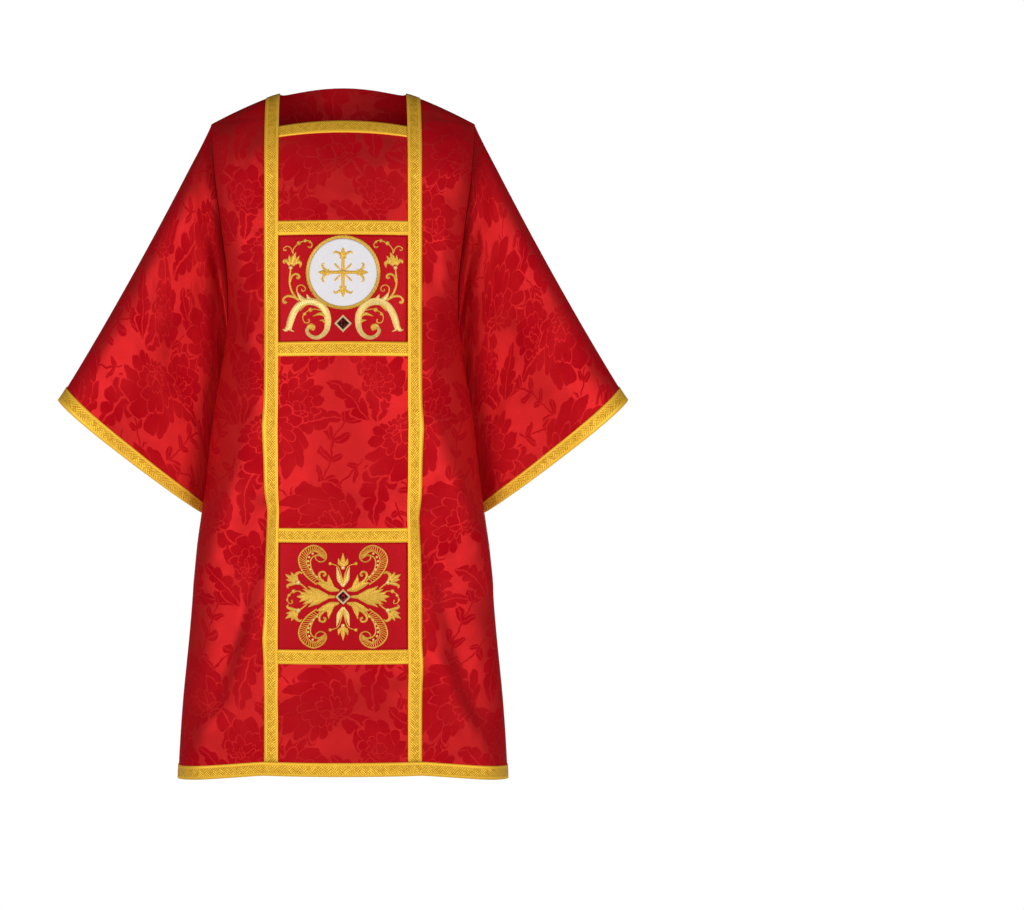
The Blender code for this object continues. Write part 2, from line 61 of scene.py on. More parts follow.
# %% Sizes of the cut
GAP = 0.0003
CLOTH = 0.0016
GALLOON = 0.0012
GROUND = 0.0008
MEDALLION = 0.0012
CORD = 0.0022
ON_GROUND = GAP + GROUND + 0.0004

NECK = 0.112
GALLOON_WIDTH = 0.024
BAND = NECK + GALLOON_WIDTH
FRONT_NECK_RISE = 0.0094
BACK_NECK_RISE = 0.022
BACK_NECK_CREST = 0.050
YOKE = -0.160
SHOULDER = (0.234, -0.052)
SHOULDER_FALL = 1.2
UNDERARM = -0.3965
ARMHOLE_DEPTH = 0.048
HEM = -1.197
SIDE_DROP = 0.0205
HEM_WAVE = 0.004

CUFF_TOP = (0.507, -0.544)
CUFF_LOW = (0.252, -0.747)
CUFF_BULGE = 0.006
SLEEVE_SAG = 0.008
SAG_ROUNDNESS = 0.6
SLEEVE_DEPTH = {-1: 0.086, 1: 0.078}
SLEEVE_TAPER = 0.72
SLEEVE_TUCK = 0.030
UNDERARM_TUCK = 0.005
VALLEY = 0.18
PIPE_RISE = 0.012
PIPE_PLACE = 0.20
PIPE_WIDTH = 0.07

FRONT, BACK = -1, 1

# Height, half width, and how far the middle stands forward and back
BODY = np.array((
    (0.000, 0.2360, 0.100, 0.106),
    (-0.052, 0.2340, 0.104, 0.109),
    (-0.152, 0.2260, 0.112, 0.112),
    (-0.250, 0.2130, 0.122, 0.114),
    (-0.349, 0.2035, 0.126, 0.112),
    (-0.438, 0.2100, 0.127, 0.109),
    (-0.580, 0.2320, 0.126, 0.108),
    (-0.688, 0.2450, 0.126, 0.109),
    (-0.795, 0.2606, 0.125, 0.110),
    (-0.937, 0.2730, 0.123, 0.112),
    (-1.080, 0.2870, 0.121, 0.114),
    (-1.220, 0.2945, 0.119, 0.116),
))

# Upper edges of the crossbars
FRONT_BARS = (-0.2396, -0.4486, -0.7690, -0.9790)
BACK_BARS = (-0.1897, -0.3965, -0.7690, -0.9790)

YOKE_ANGLES = (0.0, 14.0, 28.0, 42.0, 56.25, 64.5, 77.0, 90.0)
NECK_ROW = 4
NECK_BAR_ROW = 5
LARGEST_STEP = 0.048
OUTER_COLUMNS = 7
CENTRE_HALF = 4
MIDDLE = OUTER_COLUMNS + 1 + CENTRE_HALF
YOKE_ROWS = len(YOKE_ANGLES) - 1

MEDALLION_DROP = 0.0659
MEDALLION_RADIUS = 0.0580
CORD_WIDTH = 0.0056
UPPER_STONE_DROP = 0.1537
LOWER_STONE_DROP = 0.0935
SETTING_RADIUS = {"upper": 0.0155, "lower": 0.0140}


def fill_levels(levels):
    """The levels, from the top down, with more between them where a step is too large."""
    levels = sorted(set(levels), reverse=True)
    filled = [levels[0]]
    for level in levels[1:]:
        start = filled[-1]
        steps = math.ceil((start - level) / LARGEST_STEP - 1e-6)
        filled += [start + (level - start) * (n + 1) / steps for n in range(steps)]
    return filled


BAR_EDGES = [z - down for z in (*FRONT_BARS, *BACK_BARS) for down in (0.0, GALLOON_WIDTH)]
LEVELS = fill_levels([YOKE, UNDERARM, HEM + GALLOON_WIDTH, HEM, *BAR_EDGES])
LAST_ROW = YOKE_ROWS + len(LEVELS) - 1
HEM_ROW = LAST_ROW - 1
UNDERARM_ROW = YOKE_ROWS + LEVELS.index(UNDERARM)
print("rows:", LAST_ROW, "underarm row:", UNDERARM_ROW)

# %% [markdown]
# ## Folds
#
# Heavy damask hangs in a few long soft folds, with small pulls between them. Cloth simulation could
# make them, but then they would fall somewhere else each time and leave the CAD part's solids. Here
# each fold is a soft ridge or trough round a straight run, with a place, a width and a rise. The large
# ones are also in the CAD part. The small ones, with a rise of 1 to 4 mm, are only here.

# %% Tables of folds
Fold = namedtuple("Fold", "side x_top z_top x_end z_end width rise")

FOLD_FADE = 0.35
BODY_FOLDS = (
    Fold(FRONT, -0.150, -0.595, -0.246, -0.860, 0.030, 0.008),
    Fold(FRONT, -0.140, -0.743, -0.217, -1.064, 0.028, -0.010),
    Fold(FRONT, -0.155, -0.961, -0.255, -1.168, 0.030, 0.009),
    Fold(FRONT, 0.152, -0.595, 0.262, -0.858, 0.030, 0.008),
    Fold(FRONT, 0.146, -0.755, 0.232, -1.064, 0.028, -0.010),
    Fold(FRONT, 0.160, -1.008, 0.250, -1.173, 0.030, 0.009),
    Fold(FRONT, -0.086, -1.060, 0.086, -1.020, 0.024, 0.004),
    Fold(FRONT, -0.050, -1.120, 0.060, -1.100, 0.030, -0.004),
    Fold(FRONT, -0.060, -0.735, 0.090, -0.725, 0.024, -0.004),
    Fold(BACK, 0.135, -0.652, 0.262, -0.870, 0.030, 0.008),
    Fold(BACK, 0.180, -0.858, 0.256, -1.064, 0.026, -0.009),
    Fold(BACK, 0.148, -0.961, 0.252, -1.145, 0.030, 0.008),
    Fold(BACK, 0.166, -1.076, 0.190, -1.150, 0.016, -0.007),
    Fold(BACK, -0.138, -0.660, -0.258, -0.858, 0.030, 0.008),
    Fold(BACK, -0.160, -0.800, -0.262, -1.120, 0.026, -0.009),
    Fold(BACK, -0.148, -0.927, -0.245, -1.145, 0.030, 0.008),
    Fold(BACK, -0.156, -1.076, -0.172, -1.120, 0.016, -0.007),
)
SMALL_FOLDS = (
    Fold(FRONT, -0.150, -0.050, -0.178, -0.250, 0.014, 0.0022),
    Fold(FRONT, -0.172, -0.090, -0.160, -0.330, 0.012, -0.0018),
    Fold(FRONT, 0.152, -0.060, 0.176, -0.270, 0.014, 0.0020),
    Fold(FRONT, 0.170, -0.110, 0.158, -0.340, 0.012, -0.0016),
    Fold(FRONT, -0.165, -0.400, -0.146, -0.560, 0.012, 0.0018),
    Fold(FRONT, 0.166, -0.380, 0.148, -0.545, 0.012, 0.0016),
    Fold(FRONT, -0.170, -0.700, -0.185, -0.900, 0.012, -0.0020),
    Fold(FRONT, 0.172, -0.690, 0.190, -0.880, 0.012, -0.0020),
    Fold(FRONT, -0.060, -0.690, 0.030, -0.712, 0.016, 0.0016),
    Fold(FRONT, -0.020, -0.480, 0.070, -0.500, 0.018, 0.0012),
    Fold(FRONT, 0.020, -1.150, 0.090, -1.135, 0.012, 0.0018),
    Fold(FRONT, -0.090, -1.150, -0.030, -1.165, 0.012, 0.0016),
    Fold(BACK, 0.150, -0.080, 0.172, -0.300, 0.014, 0.0020),
    Fold(BACK, -0.150, -0.070, -0.174, -0.310, 0.014, 0.0022),
    Fold(BACK, 0.030, -0.420, -0.060, -0.445, 0.020, 0.0014),
    Fold(BACK, -0.020, -0.680, 0.070, -0.700, 0.018, 0.0016),
    Fold(BACK, 0.166, -0.420, 0.150, -0.590, 0.012, 0.0018),
    Fold(BACK, -0.168, -0.400, -0.150, -0.580, 0.012, 0.0016),
)
SLEEVE_FOLDS = (
    Fold(FRONT, 0.318, -0.400, 0.405, -0.571, 0.028, 0.006),
    Fold(FRONT, 0.300, -0.430, 0.262, -0.575, 0.024, -0.007),
    Fold(FRONT, 0.335, -0.560, 0.370, -0.640, 0.030, -0.005),
    Fold(BACK, 0.330, -0.380, 0.440, -0.580, 0.030, 0.006),
    Fold(BACK, 0.300, -0.400, 0.300, -0.600, 0.026, -0.007),
    Fold(FRONT, 0.290, -0.180, 0.350, -0.330, 0.020, 0.0022),
    Fold(FRONT, 0.340, -0.250, 0.420, -0.420, 0.018, -0.0018),
    Fold(FRONT, 0.400, -0.400, 0.450, -0.540, 0.016, 0.0016),
    Fold(BACK, 0.300, -0.200, 0.370, -0.360, 0.020, 0.0022),
    Fold(BACK, 0.380, -0.350, 0.440, -0.500, 0.018, -0.0018),
)


def smoothstep(value):
    value = np.clip(value, 0.0, 1.0)
    return value * value * (3.0 - 2.0 * value)


def fold_rise(folds, side, x, z):
    """Sum of one side's folds at each (x, z)."""
    rise = np.zeros(np.broadcast(x, z).shape)
    for fold in folds:
        if fold.side != side:
            continue
        run_x = fold.x_end - fold.x_top
        run_z = fold.z_end - fold.z_top
        across = x - fold.x_top
        down = z - fold.z_top
        share = np.clip((across * run_x + down * run_z) / (run_x**2 + run_z**2), 0.0, 1.0)
        distance = (across - share * run_x) ** 2 + (down - share * run_z) ** 2
        rise = rise + fold.rise * np.exp(-distance / fold.width**2)
    return rise


print(len(BODY_FOLDS), "large and", len(SMALL_FOLDS), "small folds on the body")

# %% [markdown]
# ## The cloth's curves
#
# Every later piece lies on the cloth, so the cloth is first written down as functions. A panel's point
# is found from its row and column, which may be fractions. A sleeve's point is found from its share of
# the way to the cuff and its turn round the arm. A galloon or a stitch only has to say where on the
# cloth it lies and how far it stands off, and it follows each fold without a modifier.

# %% Curves of the cloth
def section(z):
    """Half width, front and back depth of the body at each height."""
    last = len(BODY) - 1
    after = np.clip(np.searchsorted(-BODY[:, 0], -np.asarray(z, float)), 1, last)
    rows = [BODY[np.clip(after + step, 0, last)] for step in (-2, -1, 0, 1)]
    t = (z - rows[1][..., 0]) / (rows[2][..., 0] - rows[1][..., 0])
    weights = (
        -0.5 * t + t * t - 0.5 * t**3,
        1.0 - 2.5 * t * t + 1.5 * t**3,
        0.5 * t + 2.0 * t * t - 1.5 * t**3,
        -0.5 * t * t + 0.5 * t**3,
    )
    blend = sum(weight[..., None] * row for weight, row in zip(weights, rows))
    return blend[..., 1], blend[..., 2], blend[..., 3]


def shoulder_line(x):
    share = np.maximum(np.abs(x) - NECK, 0.0) / (SHOULDER[0] - NECK)
    return SHOULDER[1] * share**SHOULDER_FALL


def neck_bow(x):
    return np.maximum(1.0 - (x / NECK) ** 2, 0.0)


def armhole_depth(z):
    share = np.clip((SHOULDER[1] - z) / (SHOULDER[1] - UNDERARM), 0.0, 1.0)
    return 2.0 * ARMHOLE_DEPTH * np.sqrt(share * (1.0 - share))


def body_point(side, x, z, facing=None):
    """Points of the body's outer face. facing is 1 in the middle and 0 at the side seam."""
    half_width, front, back = section(z)
    if facing is None:
        facing = np.sqrt(np.maximum(1.0 - (x / half_width) ** 2, 0.0))
    middle = front if side == FRONT else back
    edge = armhole_depth(z)
    top = shoulder_line(x)
    if side == BACK:
        top = top + BACK_NECK_CREST * neck_bow(x)
    fallen = np.clip((top - z) / (top - YOKE), 0.0, 1.0)
    depth = (edge + (middle - edge) * facing) * np.sqrt(1.0 - (1.0 - fallen) ** 2)
    lift = fold_rise(BODY_FOLDS, side, x, z) + fold_rise(SMALL_FOLDS, side, x, z)
    lift = lift * smoothstep(facing / FOLD_FADE) * smoothstep(fallen)
    lean = np.copysign(np.sqrt(1.0 - np.minimum(facing, 1.0) ** 2), x)
    return np.stack((x + lift * lean, side * (depth + lift * facing), z + 0.0 * x), axis=-1)


def yoke_share(row):
    return 1.0 - np.cos(np.radians(np.interp(row, range(YOKE_ROWS + 1), YOKE_ANGLES)))


def row_height(side, row, x):
    share = yoke_share(row)
    level = np.interp(row, np.arange(YOKE_ROWS, LAST_ROW + 1), LEVELS)
    top = shoulder_line(x)
    inside = np.abs(x) < NECK
    if side == BACK:
        top = np.where(inside, BACK_NECK_RISE * neck_bow(x), top)
    else:
        neck_share = yoke_share(NECK_ROW)
        top = np.where(inside, YOKE * neck_share + FRONT_NECK_RISE * neck_bow(x), top)
        share = np.where(inside, (share - neck_share) / (1.0 - neck_share), share)
    return np.where(row >= YOKE_ROWS, level, top * (1.0 - share) + YOKE * share)


def panel_point(side, row, column):
    """Points of a body panel at rows and columns."""
    across = column - MIDDLE
    sign = np.where(across < 0.0, -1.0, 1.0)
    reach = np.abs(across)
    steps = np.maximum(reach - CENTRE_HALF - 1.0, 0.0)
    half_width = section(row_height(side, row, SHOULDER[0]))[0]
    inner = np.arcsin(BAND / half_width)
    angle = inner + (math.pi / 2.0 - inner) * steps / OUTER_COLUMNS
    outer = reach > CENTRE_HALF + 1.0
    narrow = np.interp(reach, (0.0, CENTRE_HALF, CENTRE_HALF + 1.0), (0.0, NECK, BAND))
    x = sign * np.where(outer, half_width * np.sin(angle), narrow)
    z = row_height(side, row, x)
    plain = np.sqrt(np.maximum(1.0 - (x / section(z)[0]) ** 2, 0.0))
    point = body_point(side, x, z, np.where(outer, np.maximum(np.cos(angle), 0.0), plain))
    share = np.clip((np.abs(x) - BAND) / (half_width - BAND), 0.0, 1.0)
    drop = SIDE_DROP * share**2 + HEM_WAVE * np.sin(math.pi * share)
    point[..., 2] -= drop * smoothstep((UNDERARM - z) / (UNDERARM - HEM))
    return point


def sleeve_point(sign, share, turn):
    """Points of a sleeve. Turn 0 is its upper fold, and turns run down the front, then up the back."""
    turn = np.mod(turn, 2.0 * UNDERARM_ROW)
    front = turn <= UNDERARM_ROW
    down = np.where(front, turn, 2.0 * UNDERARM_ROW - turn)
    edge = MIDDLE + sign * MIDDLE
    starts = [panel_point(side, down, edge) for side in (FRONT, BACK)]
    start = np.where(front[..., None], *starts)
    angle = math.pi * down / UNDERARM_ROW
    along = (1.0 - np.cos(angle)) / 2.0
    arm = np.array((CUFF_TOP[0] - SHOULDER[0], CUFF_TOP[1] - SHOULDER[1]))
    arm /= np.linalg.norm(arm)
    flat = []
    for axis, begin in ((0, np.abs(start[..., 0])), (1, start[..., 2])):
        cuff = CUFF_TOP[axis] + (CUFF_LOW[axis] - CUFF_TOP[axis]) * along
        cuff = cuff + arm[axis] * CUFF_BULGE * np.sin(angle)
        flat.append(begin + (cuff - begin) * share)
    sag = SLEEVE_SAG * np.maximum(np.sin(math.pi * share), 0.0) ** SAG_ROUNDNESS * (1.0 - along)
    x = flat[0] + arm[1] * sag
    z = flat[1] - arm[0] * sag
    tucked = smoothstep(share / 0.06) * (1.0 - smoothstep((share - 0.45) / 0.45)) * along**6
    x = x - UNDERARM_TUCK * tucked
    hollow = smoothstep(share / VALLEY)
    depth = np.where(front, SLEEVE_DEPTH[FRONT], SLEEVE_DEPTH[BACK]) * (1.0 - SLEEVE_TAPER * along)
    depth = depth + PIPE_RISE * np.exp(-(((share - PIPE_PLACE) / PIPE_WIDTH) ** 2)) * along
    folds = [fold_rise(SLEEVE_FOLDS, side, x, z) for side in (FRONT, BACK)]
    depth = depth + np.where(front, *folds)
    y = np.where(front, FRONT, BACK) * depth * np.sin(angle) + SLEEVE_TUCK * along
    y = start[..., 1] * (1.0 - hollow) + y * hollow
    return np.stack((sign * (x + 2.0 * GAP * (1.0 - share)), y, z), axis=-1)


def raise_off(surface, u, v, lift, outward):
    """Points at a height over a surface of two values, and the ways out of it."""
    step = 0.01
    across = surface(u + step, v) - surface(u - step, v)
    down = surface(u, v + step) - surface(u, v - step)
    out = outward * np.cross(across, down)
    out /= np.linalg.norm(out, axis=-1, keepdims=True)
    return surface(u, v) + out * np.asarray(lift)[..., None], out


def on_panel(side, row, column, lift):
    """Points over a panel, at rows and columns."""
    def surface(a, b):
        return panel_point(side, np.clip(b, 0.0, LAST_ROW), np.clip(a, 0.0, 2 * MIDDLE))
    return raise_off(surface, column, row, lift, side)


def on_sleeve(sign, share, turn, lift):
    """Points over a sleeve."""
    def surface(a, b):
        return sleeve_point(sign, np.clip(a, 0.0, 1.0), b)
    return raise_off(surface, share, turn, lift, -sign)


def on_cloth(side, x, z, lift):
    """Points over the middle of a panel, straight from x and z."""
    reach = 0.002
    x, z = np.broadcast_arrays(np.asarray(x, float), np.asarray(z, float))
    across = body_point(side, x + reach, z) - body_point(side, x - reach, z)
    down = body_point(side, x, z - reach) - body_point(side, x, z + reach)
    out = side * np.cross(across, down)
    out /= np.linalg.norm(out, axis=-1, keepdims=True)
    return body_point(side, x, z) + out * np.asarray(lift)[..., None], out


print("hem, front middle:", panel_point(FRONT, np.array([LAST_ROW]), np.array([MIDDLE]))[0])

# %% [markdown]
# ## Grids that become cloth
#
# Woven cloth has no thickness worth modelling in its weave, but it has edges, and a lamp shows them.
# Each piece starts as one flat grid. Its points move to their places, its UVs are set in metres along
# the cloth, and the sheet is then given its wall. Unwrapping it afterwards would stretch the weave at
# the shoulders. Measuring along the rows and columns keeps its scale the same everywhere.

# %% Grids and finished pieces
def add_grid(mesh, across, down, place, origin=(0.0, 0.0), shift=(0.0, 0.0)):
    """Adds a grid. place turns shares across and down into points and the ways out."""
    verts = bmesh.ops.create_grid(mesh, x_segments=across, y_segments=down, size=1.0)["verts"]
    spots = [(round((v.co.x + 1) / 2 * across), round((1 - v.co.y) / 2 * down)) for v in verts]
    u, v = np.meshgrid(np.linspace(0, 1, across + 1), np.linspace(0, 1, down + 1))
    points, outs = place(u, v)
    flats = []
    for axis, start in ((1, origin[0]), (0, origin[1])):
        steps = np.linalg.norm(np.diff(points, axis=axis), axis=-1)
        arcs = np.insert(np.cumsum(steps, axis=axis), 0, 0.0, axis=axis)
        middle = round(start * (arcs.shape[axis] - 1))
        arcs = arcs - np.take(arcs, [middle], axis=axis)
        flats.append(arcs + shift[len(flats)])
    layer = mesh.loops.layers.uv.verify()
    facing = 0.0
    for vert, (i, j) in zip(verts, spots):
        vert.co = points[j, i]
        for loop in vert.link_loops:
            loop[layer].uv = (flats[0][j, i], -flats[1][j, i])
    faces = list({face for vert in verts for face in vert.link_faces})
    lookup = dict(zip(verts, spots))
    for face in faces:
        face.normal_update()
        i, j = lookup[face.verts[0]]
        facing += face.normal.dot(Vector(outs[j, i])) * face.calc_area()
    if facing < 0.0:
        bmesh.ops.reverse_faces(mesh, faces=faces)
    return verts


def finish_piece(name, mesh, material, stands_for=(), thickness=0.0, weld=0.0):
    """Makes the mesh an object that rides on the body and stands for its CAD nodes."""
    if weld:
        bmesh.ops.remove_doubles(mesh, verts=mesh.verts, dist=weld)
    data = bpy.data.meshes.new(name)
    mesh.to_mesh(data)
    mesh.free()
    data.materials.append(material)
    data.shade_smooth()
    piece = bpy.data.objects.new(name, data)
    bpy.context.collection.objects.link(piece)
    if thickness:
        solid = piece.modifiers.new("thickness", "SOLIDIFY")
        solid.thickness = thickness
        solid.offset = -1.0
    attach(piece, "root")
    if stands_for:
        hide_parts(*stands_for)
    return piece


# %% [markdown]
# ## Shader nodes from plain arithmetic
#
# The damask's flowers are drawn by sums over the surface, several hundred of them. Wiring each Math
# node by hand would hide what is meant. A `Value` stands for a number that changes over the surface,
# and adding or comparing two of them adds the nodes, so the lines read like the drawing rule itself.

# %% Arithmetic with nodes
class Value:
    """One socket of a node tree, with arithmetic."""

    def __init__(self, tree, socket):
        self.tree = tree
        self.socket = socket

    def math(self, operation, *values, clamp=False):
        node = self.tree.nodes.new("ShaderNodeMath")
        node.operation = operation
        node.use_clamp = clamp
        for slot, value in zip(node.inputs, values):
            if isinstance(value, Value):
                self.tree.links.new(value.socket, slot)
            else:
                slot.default_value = value
        return Value(self.tree, node.outputs[0])

    def __add__(self, other):
        return self.math("ADD", self, other)

    def __sub__(self, other):
        return self.math("SUBTRACT", self, other)

    def __rsub__(self, other):
        return self.math("SUBTRACT", other, self)

    def __mul__(self, other):
        return self.math("MULTIPLY", self, other)

    def __truediv__(self, other):
        return self.math("DIVIDE", self, other)

    __radd__ = __add__
    __rmul__ = __mul__

    def abs(self):
        return self.math("ABSOLUTE", self)

    def sqrt(self):
        return self.math("SQRT", self)

    def sin(self):
        return self.math("SINE", self)

    def cos(self):
        return self.math("COSINE", self)

    def fract(self):
        return self.math("FRACT", self)

    def power(self, other):
        return self.math("POWER", self, other)

    def clip(self):
        return self.math("ADD", self, 0.0, clamp=True)

    def greater_of(self, other):
        return self.math("MAXIMUM", self, other)

    def below(self, edge, soft):
        """1 where this is under the edge, 0 over it, with a soft step between."""
        if isinstance(edge, Value):
            return self.math("MULTIPLY_ADD", edge - self, 1.0 / soft, 0.5, clamp=True)
        return self.math("MULTIPLY_ADD", self, -1.0 / soft, edge / soft + 0.5, clamp=True)

    def above(self, edge, soft):
        """1 where this is over the edge."""
        if isinstance(edge, Value):
            return self.math("MULTIPLY_ADD", self - edge, 1.0 / soft, 0.5, clamp=True)
        return self.math("MULTIPLY_ADD", self, 1.0 / soft, 0.5 - edge / soft, clamp=True)


def angle_of(y, x):
    return y.math("ARCTAN2", y, x)


def separate(tree, vector):
    node = tree.nodes.new("ShaderNodeSeparateXYZ")
    tree.links.new(vector, node.inputs[0])
    return Value(tree, node.outputs[0]), Value(tree, node.outputs[1])


def new_group(name, inputs, outputs):
    """A shader node group, its input sockets by name, and its output node."""
    tree = bpy.data.node_groups.new(name, "ShaderNodeTree")
    for label, kind in inputs:
        tree.interface.new_socket(name=label, in_out="INPUT", socket_type=kind)
    for label, kind in outputs:
        tree.interface.new_socket(name=label, in_out="OUTPUT", socket_type=kind)
    source = tree.nodes.new("NodeGroupInput")
    sink = tree.nodes.new("NodeGroupOutput")
    return tree, source.outputs, sink.inputs


FLOAT = "NodeSocketFloat"
VECTOR = "NodeSocketVector"


def add_noise(tree, vector, scale, detail=2.0):
    node = tree.nodes.new("ShaderNodeTexNoise")
    node.inputs["Scale"].default_value = scale
    node.inputs["Detail"].default_value = detail
    tree.links.new(vector, node.inputs["Vector"])
    return node


# %% [markdown]
# ## The figures of the damask
#
# The figure woven into the cloth has three kinds of motif: a full flower seen from the side, a lobed
# leaf and a leafy sprig. Each could be an image, but an image blurs close up and has one fixed size.
# As a node group each motif stays sharp, and one group gives many different flowers from a few inputs.
# Each gives its figure, and a slightly larger shape that clears the cloth round it, so that a flower
# lies over a leaf with a thin light line between them.

# %% Flower, leaf and sprig
def make_blossom():
    """Shells of lobed petals that spread from the base along X, in units of the flower's length."""
    inputs = (("Place", VECTOR), ("Petals", FLOAT), ("Twist", FLOAT), ("Fullness", FLOAT))
    tree, source, sink = new_group("blossom", inputs, (("Figure", FLOAT), ("Clear", FLOAT)))
    x, y = separate(tree, source["Place"])
    petals = Value(tree, source["Petals"])
    fullness = Value(tree, source["Fullness"])
    radius = (x * x + y * y).sqrt()
    angle = angle_of(y, x) + radius * Value(tree, source["Twist"])
    spread = fullness + (1.0 - fullness) * angle.cos()
    turn = angle * petals / (2.0 * math.pi)
    half_petal = radius * math.pi / petals

    def shell(size, shift, count):
        """A shell's edge, and the light lines between its petals and between their lobes."""
        petal = ((turn * count + shift).fract() - 0.5).abs() * 2.0
        lobe = (petal * (1.5 * math.pi)).cos().abs()
        edge = size * spread * (0.88 + 0.15 * lobe - 0.16 * petal.power(4.0))
        wide = half_petal / count
        parting = ((1.0 - petal) * wide).below(0.011, 0.013)
        streak = ((petal - 0.34).abs() * wide).below(0.006, 0.010)
        return edge, parting.greater_of(streak * radius.above(edge * 0.84, 0.10) * 0.8)

    outer, outer_lines = shell(1.0, 0.0, 1.0)
    middle, middle_lines = shell(0.64, 0.5, 1.0)
    inner, inner_lines = shell(0.32, 0.25, 1.0)
    in_middle = radius.below(middle, 0.014)
    in_inner = radius.below(inner, 0.014)
    lines = outer_lines * (1.0 - in_middle)
    lines = lines.greater_of(middle_lines * in_middle * (1.0 - in_inner))
    lines = lines.greater_of(inner_lines * in_inner)
    lines = lines.greater_of((radius - middle).abs().below(0.012, 0.012))
    lines = lines.greater_of((radius - inner).abs().below(0.011, 0.012))
    figure = radius.below(outer, 0.014) * (1.0 - lines)
    tree.links.new(figure.socket, sink["Figure"])
    tree.links.new(radius.below(outer + 0.04, 0.03).socket, sink["Clear"])
    return tree


def make_leaf():
    """A leaf of forward lobes along X, in units of its length."""
    inputs = (("Place", VECTOR), ("Width", FLOAT), ("Bend", FLOAT), ("Lobes", FLOAT))
    tree, source, sink = new_group("leaf", inputs, (("Figure", FLOAT), ("Clear", FLOAT)))
    x, y = separate(tree, source["Place"])
    width = Value(tree, source["Width"])
    along = x.clip()
    off = (y - Value(tree, source["Bend"]) * along * (1.0 - along)).abs()
    share = off / width
    phase = (along - share * 0.20) * Value(tree, source["Lobes"])
    lobe = (phase * math.pi).sin().abs()
    half = width * along.power(0.5) * (1.0 - along).power(0.7) * (0.72 + lobe.power(0.6) * 0.55)
    rib = off.below(0.008 + (1.0 - along) * 0.006, 0.010)
    parting = (0.5 - (phase.fract() - 0.5).abs()).below(0.035, 0.045)
    parting = parting * share.above(0.22, 0.12)
    figure = off.below(half, 0.014) * (1.0 - rib.greater_of(parting * 0.95))
    tree.links.new(figure.socket, sink["Figure"])
    tree.links.new((off.below(half + 0.035, 0.03) * half.above(0.002, 0.002)).socket, sink["Clear"])
    return tree


def make_sprig():
    """A thin bent stem along X with pairs of leaves and a bud, in units of its length."""
    inputs = (("Place", VECTOR), ("Bend", FLOAT), ("Pairs", FLOAT))
    tree, source, sink = new_group("sprig", inputs, (("Figure", FLOAT), ("Clear", FLOAT)))
    x, y = separate(tree, source["Place"])
    pairs = Value(tree, source["Pairs"])
    along = x.clip()
    off = (y - Value(tree, source["Bend"]) * (along * 2.6).sin()).abs()
    on_stem = (along * (1.0 - along)).above(0.02, 0.01)
    step = ((along * pairs).fract() - 0.40) / pairs
    lengthways = ((step + off) * 0.7071 - 0.105) / 0.092
    sideways = (step - off) * 0.7071 / 0.044
    oval = (lengthways * lengthways + sideways * sideways).below(1.0, 0.22)
    split = sideways.abs().below(0.12, 0.12) * 0.7
    leaves = oval * (1.0 - split) * on_stem
    stem = off.below(0.011, 0.010) * on_stem
    bud_x = x - 1.02
    bud = (bud_x * bud_x + off * off * 1.4).sqrt()
    ring = (bud - 0.062).abs().below(0.009, 0.010)
    berry = bud.below(0.105, 0.012) * (1.0 - ring)
    figure = leaves.greater_of(stem).greater_of(berry)
    tree.links.new(figure.socket, sink["Figure"])
    clear = (lengthways * lengthways + sideways * sideways).below(1.5, 0.3) * on_stem
    tree.links.new(clear.greater_of(bud.below(0.125, 0.02)).socket, sink["Clear"])
    return tree


BLOSSOM, LEAF, SPRIG = make_blossom(), make_leaf(), make_sprig()
for group in (BLOSSOM, LEAF, SPRIG):
    print(group.name, len(group.nodes), "nodes")

# %% [markdown]
# ## The repeat
#
# A loom repeats its figure at a fixed step. This one repeats every 23 by 32 cm, with the motifs close
# together, as on the real cloth. Later ones lie over earlier ones. A ruler-straight repeat looks
# printed, so the place is first shifted a little by two noises: a wide one that bends the motifs, and
# a fine one that roughens their edges as stepped threads do.

# %% The repeat of the damask
REPEAT = (0.230, 0.320)
Figure = namedtuple("Figure", "group x y size angle first second third")
FIGURES = (
    Figure(SPRIG, -0.020, 0.066, 0.140, 62, 0.12, 4, 0),
    Figure(SPRIG, -0.050, 0.035, 0.120, 155, -0.14, 3, 0),
    Figure(SPRIG, 0.110, 0.045, 0.130, -80, 0.14, 3, 0),
    Figure(SPRIG, 0.060, 0.115, 0.125, 205, 0.12, 3, 0),
    Figure(LEAF, 0.024, 0.000, 0.150, -70, 0.34, 0.66, 5),
    Figure(LEAF, -0.005, -0.012, 0.105, -130, 0.38, -0.40, 4),
    Figure(LEAF, -0.050, -0.020, 0.092, 160, 0.38, 0.42, 4),
    Figure(LEAF, 0.122, 0.128, 0.140, -110, 0.34, -0.60, 5),
    Figure(LEAF, 0.150, 0.165, 0.100, 12, 0.38, 0.40, 4),
    Figure(LEAF, 0.060, 0.180, 0.095, 135, 0.38, -0.42, 4),
    Figure(BLOSSOM, -0.052, -0.118, 0.058, 112, 4, 0.5, 0.68),
    Figure(BLOSSOM, 0.078, -0.070, 0.060, 35, 4, -0.5, 0.66),
    Figure(BLOSSOM, 0.006, 0.000, 0.104, 116, 5, -0.9, 0.60),
    Figure(BLOSSOM, 0.118, 0.172, 0.094, -40, 5, 0.8, 0.64),
)


